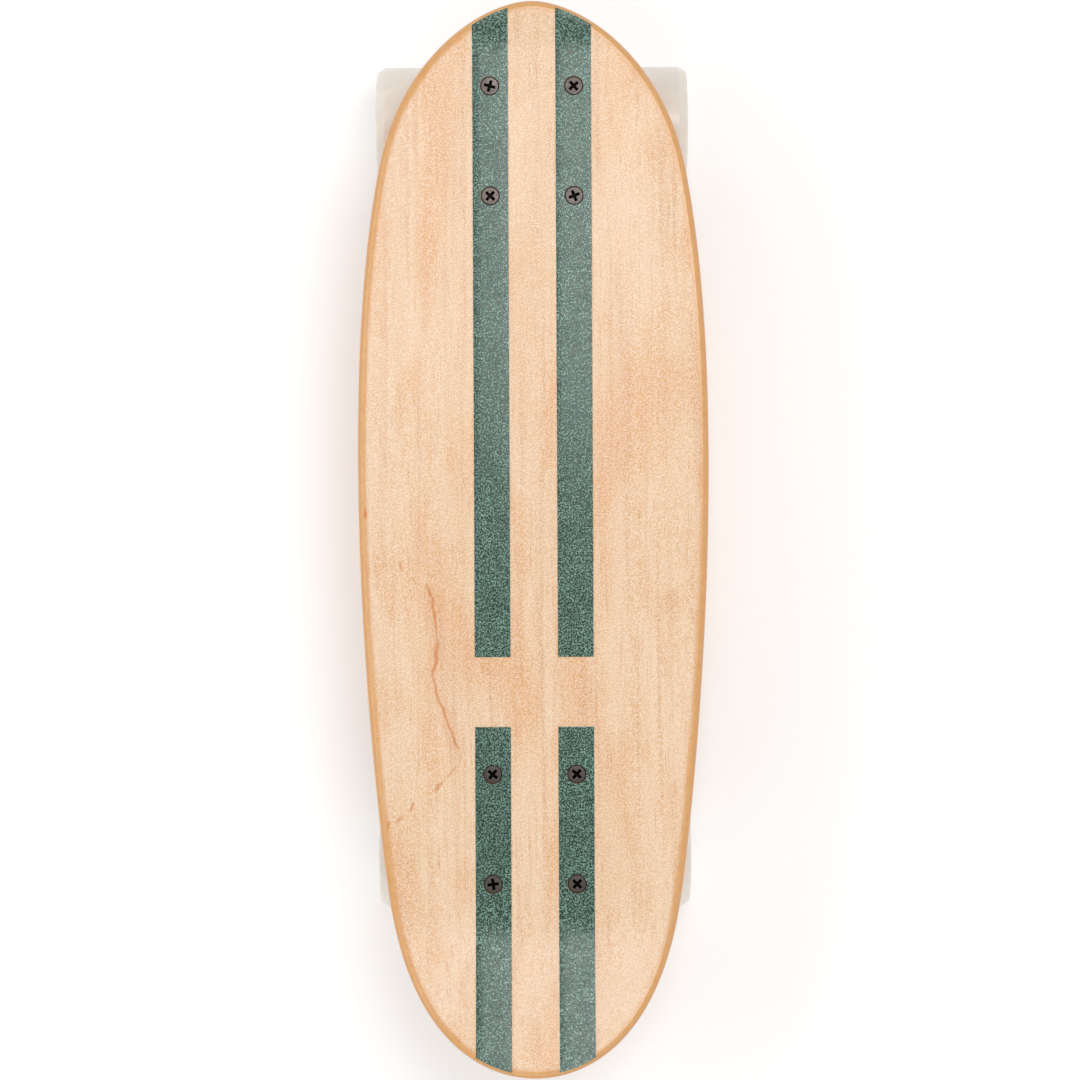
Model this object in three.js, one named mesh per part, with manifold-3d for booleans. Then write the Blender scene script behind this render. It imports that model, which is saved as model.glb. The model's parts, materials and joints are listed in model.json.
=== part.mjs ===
// A small wooden cruiser skateboard on two steering trucks.
// Millimetres, +Z up, nose towards +Y, origin on the floor under the middle of the deck.
import * as THREE from "three";
import { mergeVertices } from "three/addons/utils/BufferGeometryUtils.js";
import Module from "manifold-3d";

const wasm = await Module();
wasm.setup();

// ---------------------------------------------------------------- driving dimensions

const FACE_GAP = 0.3; // between any two faces that touch on the real board
const CUT_MARGIN = 2; // how far a cutting tool runs past the material

// Deck, seen from above. The widest line lies NOSE_LENGTH behind the nose tip.
const DECK_LENGTH = 527.6;
const DECK_WIDTH = 172.6;
const DECK_THICKNESS = 10.5;
const NOSE_LENGTH = 225.8;
const NOSE_SHOULDER_BACK = 82.6; // from the nose tip back to the shoulder point
const NOSE_SHOULDER_INSET = 10.7; // from the widest line in to the shoulder point
const NOSE_SHOULDER_ANGLE = 79.2; // degrees between the outline and a line across the deck
const NOSE_HANDLES = { tip: 22.4, shoulderOut: 59.4, shoulderIn: 49.7, widest: 39.3 };
const TAIL_SHOULDER_BACK = 84.7;
const TAIL_SHOULDER_INSET = 14.8;
const TAIL_SHOULDER_ANGLE = 81.1;
const TAIL_HANDLES = { tip: 28, shoulderOut: 65, shoulderIn: 23.8, widest: 98.7 };
const EDGE_ROUNDING = 4;

// Deck, seen from the side and from the end.
const CONCAVE_RISE = 3;
const CONCAVE_FLAT_HALF = 30; // half width of the flat strip that the trucks are bolted to
const TAIL_KICK = { length: 88, angle: 16, radius: 150 };
const NOSE_KICK = { length: 34, angle: 8, radius: 120 };

// Grip strips: four thin strips laid over the rows of deck bolts.
const GRIP_WIDTH = 17.5;
const GRIP_SPACING = 40.9; // between the middle lines of the left and right strips
const GRIP_THICKNESS = 0.7;
const GRIP_NOSE_MARGIN = 2; // bare wood between a strip's end and the deck's outline
const GRIP_TAIL_MARGIN = 2.2;
const GRIP_BREAK = 34.4; // bare wood between the long front pair and the short rear pair
const GRIP_BREAK_FROM_TAIL = 170.7;

// Truck mounting.
const FRONT_MOUNT_FROM_NOSE = 68.8;
const REAR_MOUNT_FROM_TAIL = 120.4;
const BOLT_SPACING_X = 41.3;
const BOLT_SPACING_Y = 54;
const BOLT_DIAMETER = 4.8;
const BOLT_LENGTH = 28.6;
const BOLT_HEAD_DIAMETER = 9.5;
const BOLT_HEAD_HEIGHT = 2.7;
const BOLT_HEAD_SUNK = 0.2;
const BOLT_HEAD_RIM = 0.3;
const BOLT_CLEARANCE = 0.4; // on the radius, in every hole that a bolt passes
const RECESS = { length: 4.8, width: 1.1, depth: 1.6 };
const BOLT_NUT = { acrossFlats: 9.4, height: 5.6 };
const RISER = { length: 82, width: 57, thickness: 3, corner: 6 };

// Truck, in its own frame: origin in the middle of the plate's top face, +Y outboard.
const PLATE = { length: 80, width: 56, thickness: 6, corner: 8 };
const AXLE_DROP = 46;
const AXLE_OUTBOARD = 14;
const AXLE_DIAMETER = 8;
const AXLE_PROUD = 1; // beyond the axle nut
const KINGPIN_Y = 7;
const KINGPIN_LEAN = 20;
const KINGPIN_DIAMETER = 9.5;
const KINGPIN_HEAD = { diameter: 15, height: 5, below: 4 };
const KINGPIN_BOSS = { radius: 11, end: 18 };
const KINGPIN_PROUD = 2;
const KINGPIN_NUT = { acrossFlats: 14.3, height: 8 };
const PIVOT = { y: 33, z: -12 };
const PIVOT_BOSS = { radius: 10, mouth: 5.5, back: 9, roundFrom: 1, endRadius: 5 };
const CUP = { wall: 2.8, floor: 2, sunk: 0.5 };
const NOSE_ROD = { radius: 4.4, tip: 1.5, chamfer: 1.3, end: 14 };
const RING = { outer: 14, hole: 8, thickness: 9 };
const BUSHING = { radius: 11, topHeight: 15, bottomHeight: 10, bottomRadius: 8.6 };
const CUP_WASHER = { radius: 11.2, thickness: 1.2 };
const HANGER_WIDTH = 86;
const HANGER_BEAM = { end: 7, shoulder: 8.4, shoulderAt: 27, middle: 10, middleAt: 11 };
const HANGER_WEB_WIDTH = 18;
const RIB_WIDTH = 7;
const RIB_REACH = 0.7; // share of the kingpin boss that its ribs reach along
const PIVOT_RIB_REACH = 0.9; // share of the pivot boss that its rib reaches up to
const INBOARD_RIB_FROM = 29; // from the plate's middle
const INBOARD_RIB_SHORT = 2.7; // between the rib and the end of the boss
const WEB_GAP = 2.5; // between the hanger's web and what stands still next to it

// Wheels and bearings.
const WHEEL_DIAMETER = 59;
const WHEEL_WIDTH = 44;
const WHEEL_LIP = 3;
const WHEEL_DISH_RADIUS = 19;
const WHEEL_DISH_FLOOR = 14;
const BEARING = { outer: 22, width: 7 };
const BEARING_SPACING = 10; // between the two bearings of one wheel
const BEARING_RECESS = 0.5; // from a bearing's outer face to the floor of the dish
const LIP_CUT_SHARE = 0.3; // share of the lip's radius that the single flat on it takes off
const BEARING_SHOULDER = 2; // how far the wheel's core stands in behind a bearing
const SPEED_WASHER = 1; // room for the thin washer on each side of a wheel
const AXLE_NUT = { acrossFlats: 13, height: 7 };

// How many flat faces stand for one turn of each round face.
const FACETS = { boltHole: 12, small: 14, pin: 16, boss: 18, ring: 24, wheel: 28 };
const NUT_SIDES = 6;
const NUT_CHAMFER_SHARE = 0.12; // of the distance from a nut's middle to its corners

// How finely the deck's outline is drawn, from a tip to a shoulder and on to the widest line.
const OUTLINE_STEPS = { tip: 10, side: 6 };
const FINE_OUTLINE_STEPS = { tip: 40, side: 20 };

// ---------------------------------------------------------------- worked-out sizes

const DEG = Math.PI / 180;
const HALF_WIDTH = DECK_WIDTH / 2;
const NOSE_TIP_Y = DECK_LENGTH / 2;
const TAIL_TIP_Y = -DECK_LENGTH / 2;
const WIDEST_Y = NOSE_TIP_Y - NOSE_LENGTH;
const WHEEL_RADIUS = WHEEL_DIAMETER / 2;
const AXLE_RADIUS = AXLE_DIAMETER / 2;
const KINGPIN_RADIUS = KINGPIN_DIAMETER / 2;
const BOLT_RADIUS = BOLT_DIAMETER / 2;
const BEARING_RADIUS = BEARING.outer / 2;

const PLATE_TOP = WHEEL_RADIUS + AXLE_DROP;
const RISER_BOTTOM = PLATE_TOP + FACE_GAP;
const DECK_BOTTOM = RISER_BOTTOM + RISER.thickness + FACE_GAP;
const DECK_TOP = DECK_BOTTOM + DECK_THICKNESS;

const MOUNT_Y = {
  front: NOSE_TIP_Y - FRONT_MOUNT_FROM_NOSE,
  rear: TAIL_TIP_Y + REAR_MOUNT_FROM_TAIL,
};

// Distances along the kingpin, from the plate's top face down.
const WASHER_TOP_AT = KINGPIN_BOSS.end + FACE_GAP;
const BUSHING_TOP_AT = WASHER_TOP_AT + CUP_WASHER.thickness + FACE_GAP;
const RING_AT = BUSHING_TOP_AT + BUSHING.topHeight + FACE_GAP;
const RING_MIDDLE_AT = RING_AT + RING.thickness / 2;
const BUSHING_BOTTOM_AT = RING_AT + RING.thickness + FACE_GAP;
const WASHER_BOTTOM_AT = BUSHING_BOTTOM_AT + BUSHING.bottomHeight + FACE_GAP;
const KINGPIN_NUT_AT = WASHER_BOTTOM_AT + CUP_WASHER.thickness + FACE_GAP;
const KINGPIN_END_AT = KINGPIN_NUT_AT + KINGPIN_NUT.height + KINGPIN_PROUD;

const RING_Y = KINGPIN_Y - RING_MIDDLE_AT * Math.sin(KINGPIN_LEAN * DEG);
const RING_Z = -RING_MIDDLE_AT * Math.cos(KINGPIN_LEAN * DEG);
const PIVOT_ANGLE = Math.atan2(PIVOT.z - RING_Z, PIVOT.y - RING_Y);
const CUP_RADIUS = NOSE_ROD.radius + FACE_GAP + CUP.wall;
const CUP_BACK = NOSE_ROD.tip + FACE_GAP + CUP.floor;

// Distances along the axle, from the middle of the truck outwards.
const BEARING_INNER_AT = HANGER_WIDTH / 2 + FACE_GAP + SPEED_WASHER;
const BEARING_OUTER_AT = BEARING_INNER_AT + BEARING.width + BEARING_SPACING;
const WHEEL_AT = (BEARING_INNER_AT + BEARING_OUTER_AT + BEARING.width) / 2;
const AXLE_NUT_AT = BEARING_OUTER_AT + BEARING.width + SPEED_WASHER + FACE_GAP;
const AXLE_HALF = AXLE_NUT_AT + AXLE_NUT.height + AXLE_PROUD;

// ---------------------------------------------------------------- materials

const paint = (color, roughness, metalness) => {
  return new THREE.MeshStandardMaterial({ color, roughness, metalness });
};
const MAPLE = paint(0xf0cfa8, 0.5, 0);
const GRIP = paint(0x5f7f72, 0.85, 0);
const URETHANE = paint(0xe9e3da, 0.4, 0);
const CAST = paint(0xb9babb, 0.45, 0.9);
const STEEL = paint(0xc6c7c8, 0.3, 1);
const BLACK_STEEL = paint(0x3d3531, 0.4, 0.8);
const RUBBER = paint(0x2b2b2b, 0.8, 0);
const BUSHING_URETHANE = paint(0xe4dccb, 0.5, 0);

// ---------------------------------------------------------------- making solids

// A closed geometry as a manifold-3d solid, with its shared corners merged.
function solid(geometry) {
  const bare = new THREE.BufferGeometry();
  const loose = geometry.index ? geometry.toNonIndexed() : geometry;
  bare.setAttribute("position", loose.getAttribute("position"));
  const merged = mergeVertices(bare, 1e-4);
  const corners = merged.index.array;
  const kept = [];
  for (let i = 0; i < corners.length; i += 3) {
    const [a, b, c] = [corners[i], corners[i + 1], corners[i + 2]];
    if (a !== b && b !== c && c !== a) kept.push(a, b, c);
  }
  return new wasm.Manifold(
    new wasm.Mesh({
      numProp: 3,
      vertProperties: merged.getAttribute("position").array,
      triVerts: new Uint32Array(kept),
    }),
  );
}

// A manifold-3d solid as a geometry that three.js can draw.
function drawn(body) {
  const mesh = body.getMesh();
  const step = mesh.numProp;
  const positions = new Float32Array(mesh.numVert * 3);
  for (let i = 0; i < mesh.numVert; i++) {
    positions.set(mesh.vertProperties.subarray(i * step, i * step + 3), i * 3);
  }
  const geometry = new THREE.BufferGeometry();
  geometry.setAttribute("position", new THREE.BufferAttribute(positions, 3));
  geometry.setIndex(new THREE.BufferAttribute(new Uint32Array(mesh.triVerts), 1));
  geometry.computeVertexNormals();
  return geometry;
}

// Joins the first list of geometries and cuts away the second.
function carved(joined, cut = []) {
  let body = solid(joined[0]);
  for (const geometry of joined.slice(1)) body = body.add(solid(geometry));
  for (const geometry of cut) body = body.subtract(solid(geometry));
  return drawn(body);
}

// Turns a profile of [radius, height] pairs round the Z axis, whichever way it was drawn.
function turned(profile, segments) {
  const onAxis = profile[0][0] === 0 && profile[profile.length - 1][0] === 0;
  const loop = onAxis ? profile : [...profile, profile[0]];
  let area = 0;
  profile.forEach(([r, z], i) => {
    const [nextR, nextZ] = profile[(i + 1) % profile.length];
    area += r * nextZ - nextR * z;
  });
  const ordered = area > 0 ? loop : [...loop].reverse();
  const points = ordered.map(([r, z]) => new THREE.Vector2(r, z));
  return new THREE.LatheGeometry(points, segments).rotateX(Math.PI / 2);
}

// A cylinder, or a cone's stump, along Z from one height to another.
function bar(radius, from, to, segments, radiusAtTo = radius) {
  return turned([[0, from], [radius, from], [radiusAtTo, to], [0, to]], segments);
}

// A tube along Z.
function tube(outer, inner, from, to, segments) {
  return turned([[inner, from], [outer, from], [outer, to], [inner, to]], segments);
}

// A rounded rectangle centred on the origin, as a shape across Z.
function roundedRectangle(width, length, corner) {
  const [w, l] = [width / 2 - corner, length / 2 - corner];
  const shape = new THREE.Shape();
  shape.absarc(w, l, corner, 0, Math.PI / 2);
  shape.absarc(-w, l, corner, Math.PI / 2, Math.PI);
  shape.absarc(-w, -l, corner, Math.PI, 1.5 * Math.PI);
  shape.absarc(w, -l, corner, 1.5 * Math.PI, 2 * Math.PI);
  return shape;
}

// A plate with its top face at the given height.
function plate({ length, width, thickness, corner }, top) {
  const shape = roundedRectangle(width, length, corner);
  const settings = { depth: thickness, bevelEnabled: false, curveSegments: 3 };
  return new THREE.ExtrudeGeometry(shape, settings).translate(0, 0, top - thickness);
}

// A flat web of the given width, centred on X, whose side view is a list of [y, z] corners.
function web(corners, width) {
  const shape = new THREE.Shape(corners.map(([y, z]) => new THREE.Vector2(y, z)));
  const made = new THREE.ExtrudeGeometry(shape, { depth: width, bevelEnabled: false });
  // The shape's own X becomes Y, its Y becomes Z and its depth becomes X.
  const turn = new THREE.Matrix4().makeBasis(
    new THREE.Vector3(0, 1, 0),
    new THREE.Vector3(0, 0, 1),
    new THREE.Vector3(1, 0, 0),
  );
  return made.applyMatrix4(turn).translate(-width / 2, 0, 0);
}

// A hexagon nut along Z, sitting below z = 0.
function hexNut({ acrossFlats, height }, boreRadius) {
  const corner = acrossFlats / 2 / Math.cos(Math.PI / NUT_SIDES);
  const chamfer = corner * NUT_CHAMFER_SHARE;
  const hexagon = bar(corner, -height, 0, NUT_SIDES);
  const bore = bar(boreRadius, -height - CUT_MARGIN, CUT_MARGIN, FACETS.pin);
  const crown = turned(
    [
      [corner - chamfer, -height - CUT_MARGIN],
      [corner + CUT_MARGIN, -height - CUT_MARGIN],
      [corner + CUT_MARGIN, -height + chamfer],
      [corner, -height + chamfer],
      [corner - chamfer, -height],
    ],
    FACETS.boss,
  );
  return carved([hexagon], [bore, crown]);
}

// ---------------------------------------------------------------- the deck's shape

// One end of the outline, from the tip to the widest line, as two joined curves.
function endCurves(length, shoulderBack, shoulderInset, shoulderAngle, handles) {
  const shoulder = new THREE.Vector2(HALF_WIDTH - shoulderInset, length - shoulderBack);
  const along = new THREE.Vector2(
    Math.cos(shoulderAngle * DEG),
    -Math.sin(shoulderAngle * DEG),
  );
  const tipCurve = new THREE.CubicBezierCurve(
    new THREE.Vector2(0, length),
    new THREE.Vector2(handles.tip, length),
    shoulder.clone().addScaledVector(along, -handles.shoulderOut),
    shoulder,
  );
  const sideCurve = new THREE.CubicBezierCurve(
    shoulder,
    shoulder.clone().addScaledVector(along, handles.shoulderIn),
    new THREE.Vector2(HALF_WIDTH, handles.widest),
    new THREE.Vector2(HALF_WIDTH, 0),
  );
  return { tipCurve, sideCurve };
}

const nose = endCurves(
  NOSE_LENGTH,
  NOSE_SHOULDER_BACK,
  NOSE_SHOULDER_INSET,
  NOSE_SHOULDER_ANGLE,
  NOSE_HANDLES,
);
const tail = endCurves(
  DECK_LENGTH - NOSE_LENGTH,
  TAIL_SHOULDER_BACK,
  TAIL_SHOULDER_INSET,
  TAIL_SHOULDER_ANGLE,
  TAIL_HANDLES,
);

// The right half of the outline from the nose tip to the tail tip, as [x, y] points.
function rightOutline(tipSteps, sideSteps) {
  const noseSide = [
    ...nose.tipCurve.getSpacedPoints(tipSteps),
    ...nose.sideCurve.getSpacedPoints(sideSteps).slice(1),
  ].map(({ x, y }) => [x, WIDEST_Y + y]);
  const tailSide = [
    ...tail.tipCurve.getSpacedPoints(tipSteps),
    ...tail.sideCurve.getSpacedPoints(sideSteps).slice(1),
  ].map(({ x, y }) => [x, WIDEST_Y - y]);
  return [...noseSide, ...tailSide.reverse().slice(1)];
}

// Moves each outline point in by a distance, square to the outline.
function inset(outline, distance) {
  return outline.map(([x, y], i) => {
    if (x === 0) return [0, y - Math.sign(y - WIDEST_Y) * distance];
    const [beforeX, beforeY] = outline[Math.max(i - 1, 0)];
    const [afterX, afterY] = outline[Math.min(i + 1, outline.length - 1)];
    const run = Math.hypot(afterX - beforeX, afterY - beforeY);
    const movedX = x + ((afterY - beforeY) / run) * distance;
    return [movedX, y - ((afterX - beforeX) / run) * distance];
  });
}

// How far a kick lifts the deck at a distance past the line where it starts.
function kickRise(distance, { angle, radius }) {
  if (distance <= 0) return 0;
  const arcRun = radius * Math.sin(angle * DEG);
  if (distance < arcRun) return radius - Math.sqrt(radius ** 2 - distance ** 2);
  return radius * (1 - Math.cos(angle * DEG)) + (distance - arcRun) * Math.tan(angle * DEG);
}

// How far the deck's surface stands above its flat middle.
function deckRise(x, y) {
  const out = Math.max(Math.abs(x) - CONCAVE_FLAT_HALF, 0);
  const concave = CONCAVE_RISE * (out / (HALF_WIDTH - CONCAVE_FLAT_HALF)) ** 2;
  const tailKick = kickRise(TAIL_TIP_Y + TAIL_KICK.length - y, TAIL_KICK);
  const noseKick = kickRise(y - NOSE_TIP_Y + NOSE_KICK.length, NOSE_KICK);
  return concave + tailKick + noseKick;
}

// A closed skin over loops of points, each loop joined to the next. A capped skin closes its
// two end loops, whose first half runs out along one face and whose second half runs back.
function skin(loops, capped) {
  const triangles = [];
  const quad = (a, b, c, d) => triangles.push(a, b, c, a, c, d);
  const count = loops[0].length;
  for (let i = 0; i + 1 < loops.length; i++) {
    for (let j = 0; j < count; j++) {
      const k = (j + 1) % count;
      quad(loops[i][j], loops[i + 1][j], loops[i + 1][k], loops[i][k]);
    }
  }
  if (capped) {
    const [first, last] = [loops[0], loops[loops.length - 1]];
    for (let j = 0; j + 1 < count / 2; j++) {
      const [back, next] = [count - 1 - j, count - 2 - j];
      quad(first[j], first[j + 1], first[next], first[back]);
      quad(last[back], last[next], last[j + 1], last[j]);
    }
  }
  const geometry = new THREE.BufferGeometry();
  const positions = new THREE.Float32BufferAttribute(triangles.flat(), 3);
  return geometry.setAttribute("position", positions);
}

// The deck without its holes: at each step along the outline, one loop that crosses the top
// face, rounds the right edge, crosses back underneath and rounds the left edge.
function deckBlank() {
  const outline = rightOutline(OUTLINE_STEPS.tip, OUTLINE_STEPS.side);
  const acrossShares = [-1, -0.7, -0.35, 0, 0.35, 0.7, 1];
  const roundingSteps = 3;
  const rounding = [];
  for (let step = 1; step <= roundingSteps; step++) {
    const angle = (step / roundingSteps) * 90 * DEG;
    const insetBy = EDGE_ROUNDING * (1 - Math.sin(angle));
    const drop = EDGE_ROUNDING * (1 - Math.cos(angle));
    rounding.push({ drop, ring: inset(outline, insetBy) });
  }
  const faceRing = inset(outline, EDGE_ROUNDING);
  const point = (x, y, drop) => [x, y, DECK_TOP + deckRise(x, y) - drop];
  const loops = outline.map((_, i) => {
    const [faceX, faceY] = faceRing[i];
    const top = acrossShares.map((share) => point(share * faceX, faceY, 0));
    const bottom = acrossShares.map((share) => point(-share * faceX, faceY, DECK_THICKNESS));
    const upper = (side) => {
      return rounding.map(({ drop, ring }) => point(side * ring[i][0], ring[i][1], drop));
    };
    const lower = (side) => {
      return rounding.map(({ drop, ring }) => {
        return point(side * ring[i][0], ring[i][1], DECK_THICKNESS - drop);
      });
    };
    return [...top, ...upper(1), ...lower(1).reverse(), ...bottom, ...lower(-1), ...upper(-1).reverse()];
  });
  return skin(loops, false);
}

// The four places of the bolts of one truck, from the middle of its mounting.
function boltPlaces() {
  return [-1, 1].flatMap((sideX) => {
    return [-1, 1].map((sideY) => {
      return { sideX, sideY, x: (sideX * BOLT_SPACING_X) / 2, y: (sideY * BOLT_SPACING_Y) / 2 };
    });
  });
}

function allBoltHoles(profile, segments) {
  return Object.values(MOUNT_Y).flatMap((mountY) => {
    return boltPlaces().map(({ x, y }) => turned(profile, segments).translate(x, mountY + y, 0));
  });
}

function makeDeck() {
  const headRadius = BOLT_HEAD_DIAMETER / 2 + BOLT_CLEARANCE;
  const shankRadius = BOLT_RADIUS + BOLT_CLEARANCE;
  const seatTop = DECK_TOP - BOLT_HEAD_SUNK;
  const hole = [
    [0, DECK_BOTTOM - CUT_MARGIN],
    [shankRadius, DECK_BOTTOM - CUT_MARGIN],
    [shankRadius, seatTop - BOLT_HEAD_HEIGHT],
    [headRadius, seatTop],
    [headRadius, DECK_TOP + CUT_MARGIN],
    [0, DECK_TOP + CUT_MARGIN],
  ];
  return carved([deckBlank()], allBoltHoles(hole, FACETS.pin));
}

// Where an inset outline, followed from its tip, first lies as far out as x.
function edgeAt(outline, x) {
  const i = outline.findIndex(([edgeX]) => edgeX >= x);
  const [[x0, y0], [x1, y1]] = [outline[i - 1], outline[i]];
  return y0 + ((y1 - y0) * (x - x0)) / (x1 - x0);
}

// One grip strip. It follows the deck's top face and ends along the deck's outline.
function makeGrip(side, end) {
  const fine = rightOutline(FINE_OUTLINE_STEPS.tip, FINE_OUTLINE_STEPS.side);
  const breakRearY = TAIL_TIP_Y + GRIP_BREAK_FROM_TAIL;
  const isFront = end === "front";
  const margin = isFront ? GRIP_NOSE_MARGIN : GRIP_TAIL_MARGIN;
  const edge = inset(fine, margin);
  const fromTip = isFront ? edge : [...edge].reverse();
  const squareY = isFront ? breakRearY + GRIP_BREAK : breakRearY;
  const columns = 4;
  const rowSpacing = 12;
  const innerX = (GRIP_SPACING - GRIP_WIDTH) / 2;
  const rows = Math.ceil(Math.abs(edgeAt(fromTip, innerX) - squareY) / rowSpacing);
  const bottomZ = DECK_TOP + FACE_GAP;
  const loops = [];
  for (let row = 0; row <= rows; row++) {
    const top = [];
    for (let column = 0; column < columns; column++) {
      const x = innerX + (GRIP_WIDTH * column) / (columns - 1);
      const y = squareY + ((edgeAt(fromTip, x) - squareY) * row) / rows;
      top.push([side * x, y, bottomZ + deckRise(x, y) + GRIP_THICKNESS]);
    }
    const bottom = top.map(([x, y, z]) => [x, y, z - GRIP_THICKNESS]).reverse();
    loops.push([...top, ...bottom]);
  }
  const headRadius = BOLT_HEAD_DIAMETER / 2 + BOLT_CLEARANCE;
  const hole = [
    [0, DECK_TOP - CUT_MARGIN],
    [headRadius, DECK_TOP - CUT_MARGIN],
    [headRadius, DECK_TOP + CUT_MARGIN],
    [0, DECK_TOP + CUT_MARGIN],
  ];
  const ordered = side * (isFront ? 1 : -1) > 0 ? loops.reverse() : loops;
  return carved([skin(ordered, true)], allBoltHoles(hole, FACETS.pin));
}

// ---------------------------------------------------------------- bolts and risers

// A flat-head bolt with a cross recess, hanging down from the top of its head.
function makeBolt() {
  const headRadius = BOLT_HEAD_DIAMETER / 2;
  const shape = turned(
    [
      [0, -BOLT_LENGTH],
      [BOLT_RADIUS, -BOLT_LENGTH],
      [BOLT_RADIUS, -BOLT_HEAD_HEIGHT],
      [headRadius, -BOLT_HEAD_RIM],
      [headRadius, 0],
      [0, 0],
    ],
    FACETS.small,
  );
  const slot = (x, y) => {
    return new THREE.BoxGeometry(x, y, 2 * RECESS.depth);
  };
  return carved([shape], [slot(RECESS.length, RECESS.width), slot(RECESS.width, RECESS.length)]);
}

function makeRiser() {
  const holeRadius = BOLT_RADIUS + BOLT_CLEARANCE;
  const hole = bar(holeRadius, -RISER.thickness - CUT_MARGIN, CUT_MARGIN, FACETS.boltHole);
  const holes = boltPlaces().map(({ x, y }) => hole.clone().translate(x, y, 0));
  return carved([plate(RISER, 0)], holes);
}

// ---------------------------------------------------------------- the truck's frames

// The kingpin's frame: it hangs from the plate's top face, and its -Z runs down the kingpin.
const kingpinFrame = new THREE.Matrix4()
  .makeRotationX(-KINGPIN_LEAN * DEG)
  .setPosition(0, KINGPIN_Y, 0);

// The pivot's frame: its -Z runs down the steering axis, from the pivot cup to the ring.
const pivotFrame = new THREE.Matrix4()
  .makeRotationX(PIVOT_ANGLE - Math.PI / 2)
  .setPosition(0, PIVOT.y, PIVOT.z);

// The axle's frame: its Z runs along the axle.
const axleFrame = new THREE.Matrix4()
  .makeRotationY(Math.PI / 2)
  .setPosition(0, AXLE_OUTBOARD, -AXLE_DROP);

// Side-view places, as [y, z], at a distance out from and down along the two leaning axes.
function byKingpin(outboard, down) {
  const place = new THREE.Vector3(0, outboard, -down).applyMatrix4(kingpinFrame);
  return [place.y, place.z];
}

// A side-view place at a distance from the axle, at an angle up from straight outboard.
function byAxle(distance, degrees) {
  const angle = degrees * DEG;
  return [AXLE_OUTBOARD + distance * Math.cos(angle), -AXLE_DROP + distance * Math.sin(angle)];
}

function byPivot(outboard, down) {
  const place = new THREE.Vector3(0, outboard, -down).applyMatrix4(pivotFrame);
  return [place.y, place.z];
}

const inFrame = (geometry, frame) => geometry.clone().applyMatrix4(frame);

// ---------------------------------------------------------------- the truck's pieces

function makeBaseplate() {
  const half = PLATE.thickness / 2;
  const boss = KINGPIN_BOSS;
  const kingpinBoss = bar(boss.radius, -boss.end, -half, FACETS.boss);
  const { radius, mouth, back, roundFrom, endRadius } = PIVOT_BOSS;
  const pivotBoss = turned(
    [
      [0, back],
      [endRadius, back],
      [(radius + endRadius) / 2, back - (radius - endRadius) / 2],
      [radius, roundFrom],
      [radius, -mouth],
      [0, -mouth],
    ],
    FACETS.boss,
  );
  const outboardRib = web(
    [
      [KINGPIN_Y, -half],
      byKingpin(boss.radius * RIB_REACH, boss.end * RIB_REACH),
      byPivot(-radius * PIVOT_RIB_REACH, mouth - 1),
      [PIVOT.y, -half],
    ],
    RIB_WIDTH,
  );
  const inboardRib = web(
    [
      [KINGPIN_Y, -half],
      [-INBOARD_RIB_FROM, -half],
      [-INBOARD_RIB_FROM, -PLATE.thickness],
      byKingpin(-boss.radius * RIB_REACH, boss.end - INBOARD_RIB_SHORT),
      byKingpin(0, boss.end - INBOARD_RIB_SHORT),
    ],
    RIB_WIDTH,
  );
  const holeRadius = BOLT_RADIUS + BOLT_CLEARANCE;
  const boltHole = bar(holeRadius, -PLATE.thickness - CUT_MARGIN, CUT_MARGIN, FACETS.boltHole);
  const head = KINGPIN_HEAD;
  const pocketRadius = head.diameter / 2 + FACE_GAP;
  const cutAbove = new THREE.BoxGeometry(2 * PLATE.width, 2 * PLATE.length, PLATE.length);
  const pocketEnd = -head.below - head.height - FACE_GAP;
  const pocket = bar(pocketRadius, pocketEnd, PLATE.thickness, FACETS.small);
  const pinHole = bar(KINGPIN_RADIUS + FACE_GAP, -boss.end - CUT_MARGIN, 0, FACETS.pin);
  const cupHoleEnd = -mouth - CUT_MARGIN;
  const cupHole = bar(CUP_RADIUS + FACE_GAP, cupHoleEnd, CUP_BACK + FACE_GAP, FACETS.boss);
  return carved(
    [
      plate(PLATE, 0),
      inFrame(kingpinBoss, kingpinFrame),
      inFrame(pivotBoss, pivotFrame),
      outboardRib,
      inboardRib,
    ],
    [
      cutAbove.translate(0, 0, PLATE.length / 2),
      inFrame(pocket, kingpinFrame),
      inFrame(pinHole, kingpinFrame),
      inFrame(cupHole, pivotFrame),
      ...boltPlaces().map(({ x, y }) => boltHole.clone().translate(x, y, 0)),
    ],
  );
}

function makePivotCup() {
  const bore = NOSE_ROD.radius + FACE_GAP;
  const mouth = -PIVOT_BOSS.mouth + CUP.sunk;
  return turned(
    [
      [0, CUP_BACK],
      [CUP_RADIUS, CUP_BACK],
      [CUP_RADIUS, mouth],
      [bore, mouth],
      [bore, CUP_BACK - CUP.floor],
      [0, CUP_BACK - CUP.floor],
    ],
    FACETS.pin,
  );
}

function makeKingpin() {
  const { diameter, height, below } = KINGPIN_HEAD;
  return turned(
    [
      [0, -KINGPIN_END_AT],
      [KINGPIN_RADIUS, -KINGPIN_END_AT],
      [KINGPIN_RADIUS, -below - height],
      [diameter / 2, -below - height],
      [diameter / 2, -below],
      [0, -below],
    ],
    FACETS.pin,
  );
}

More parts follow.
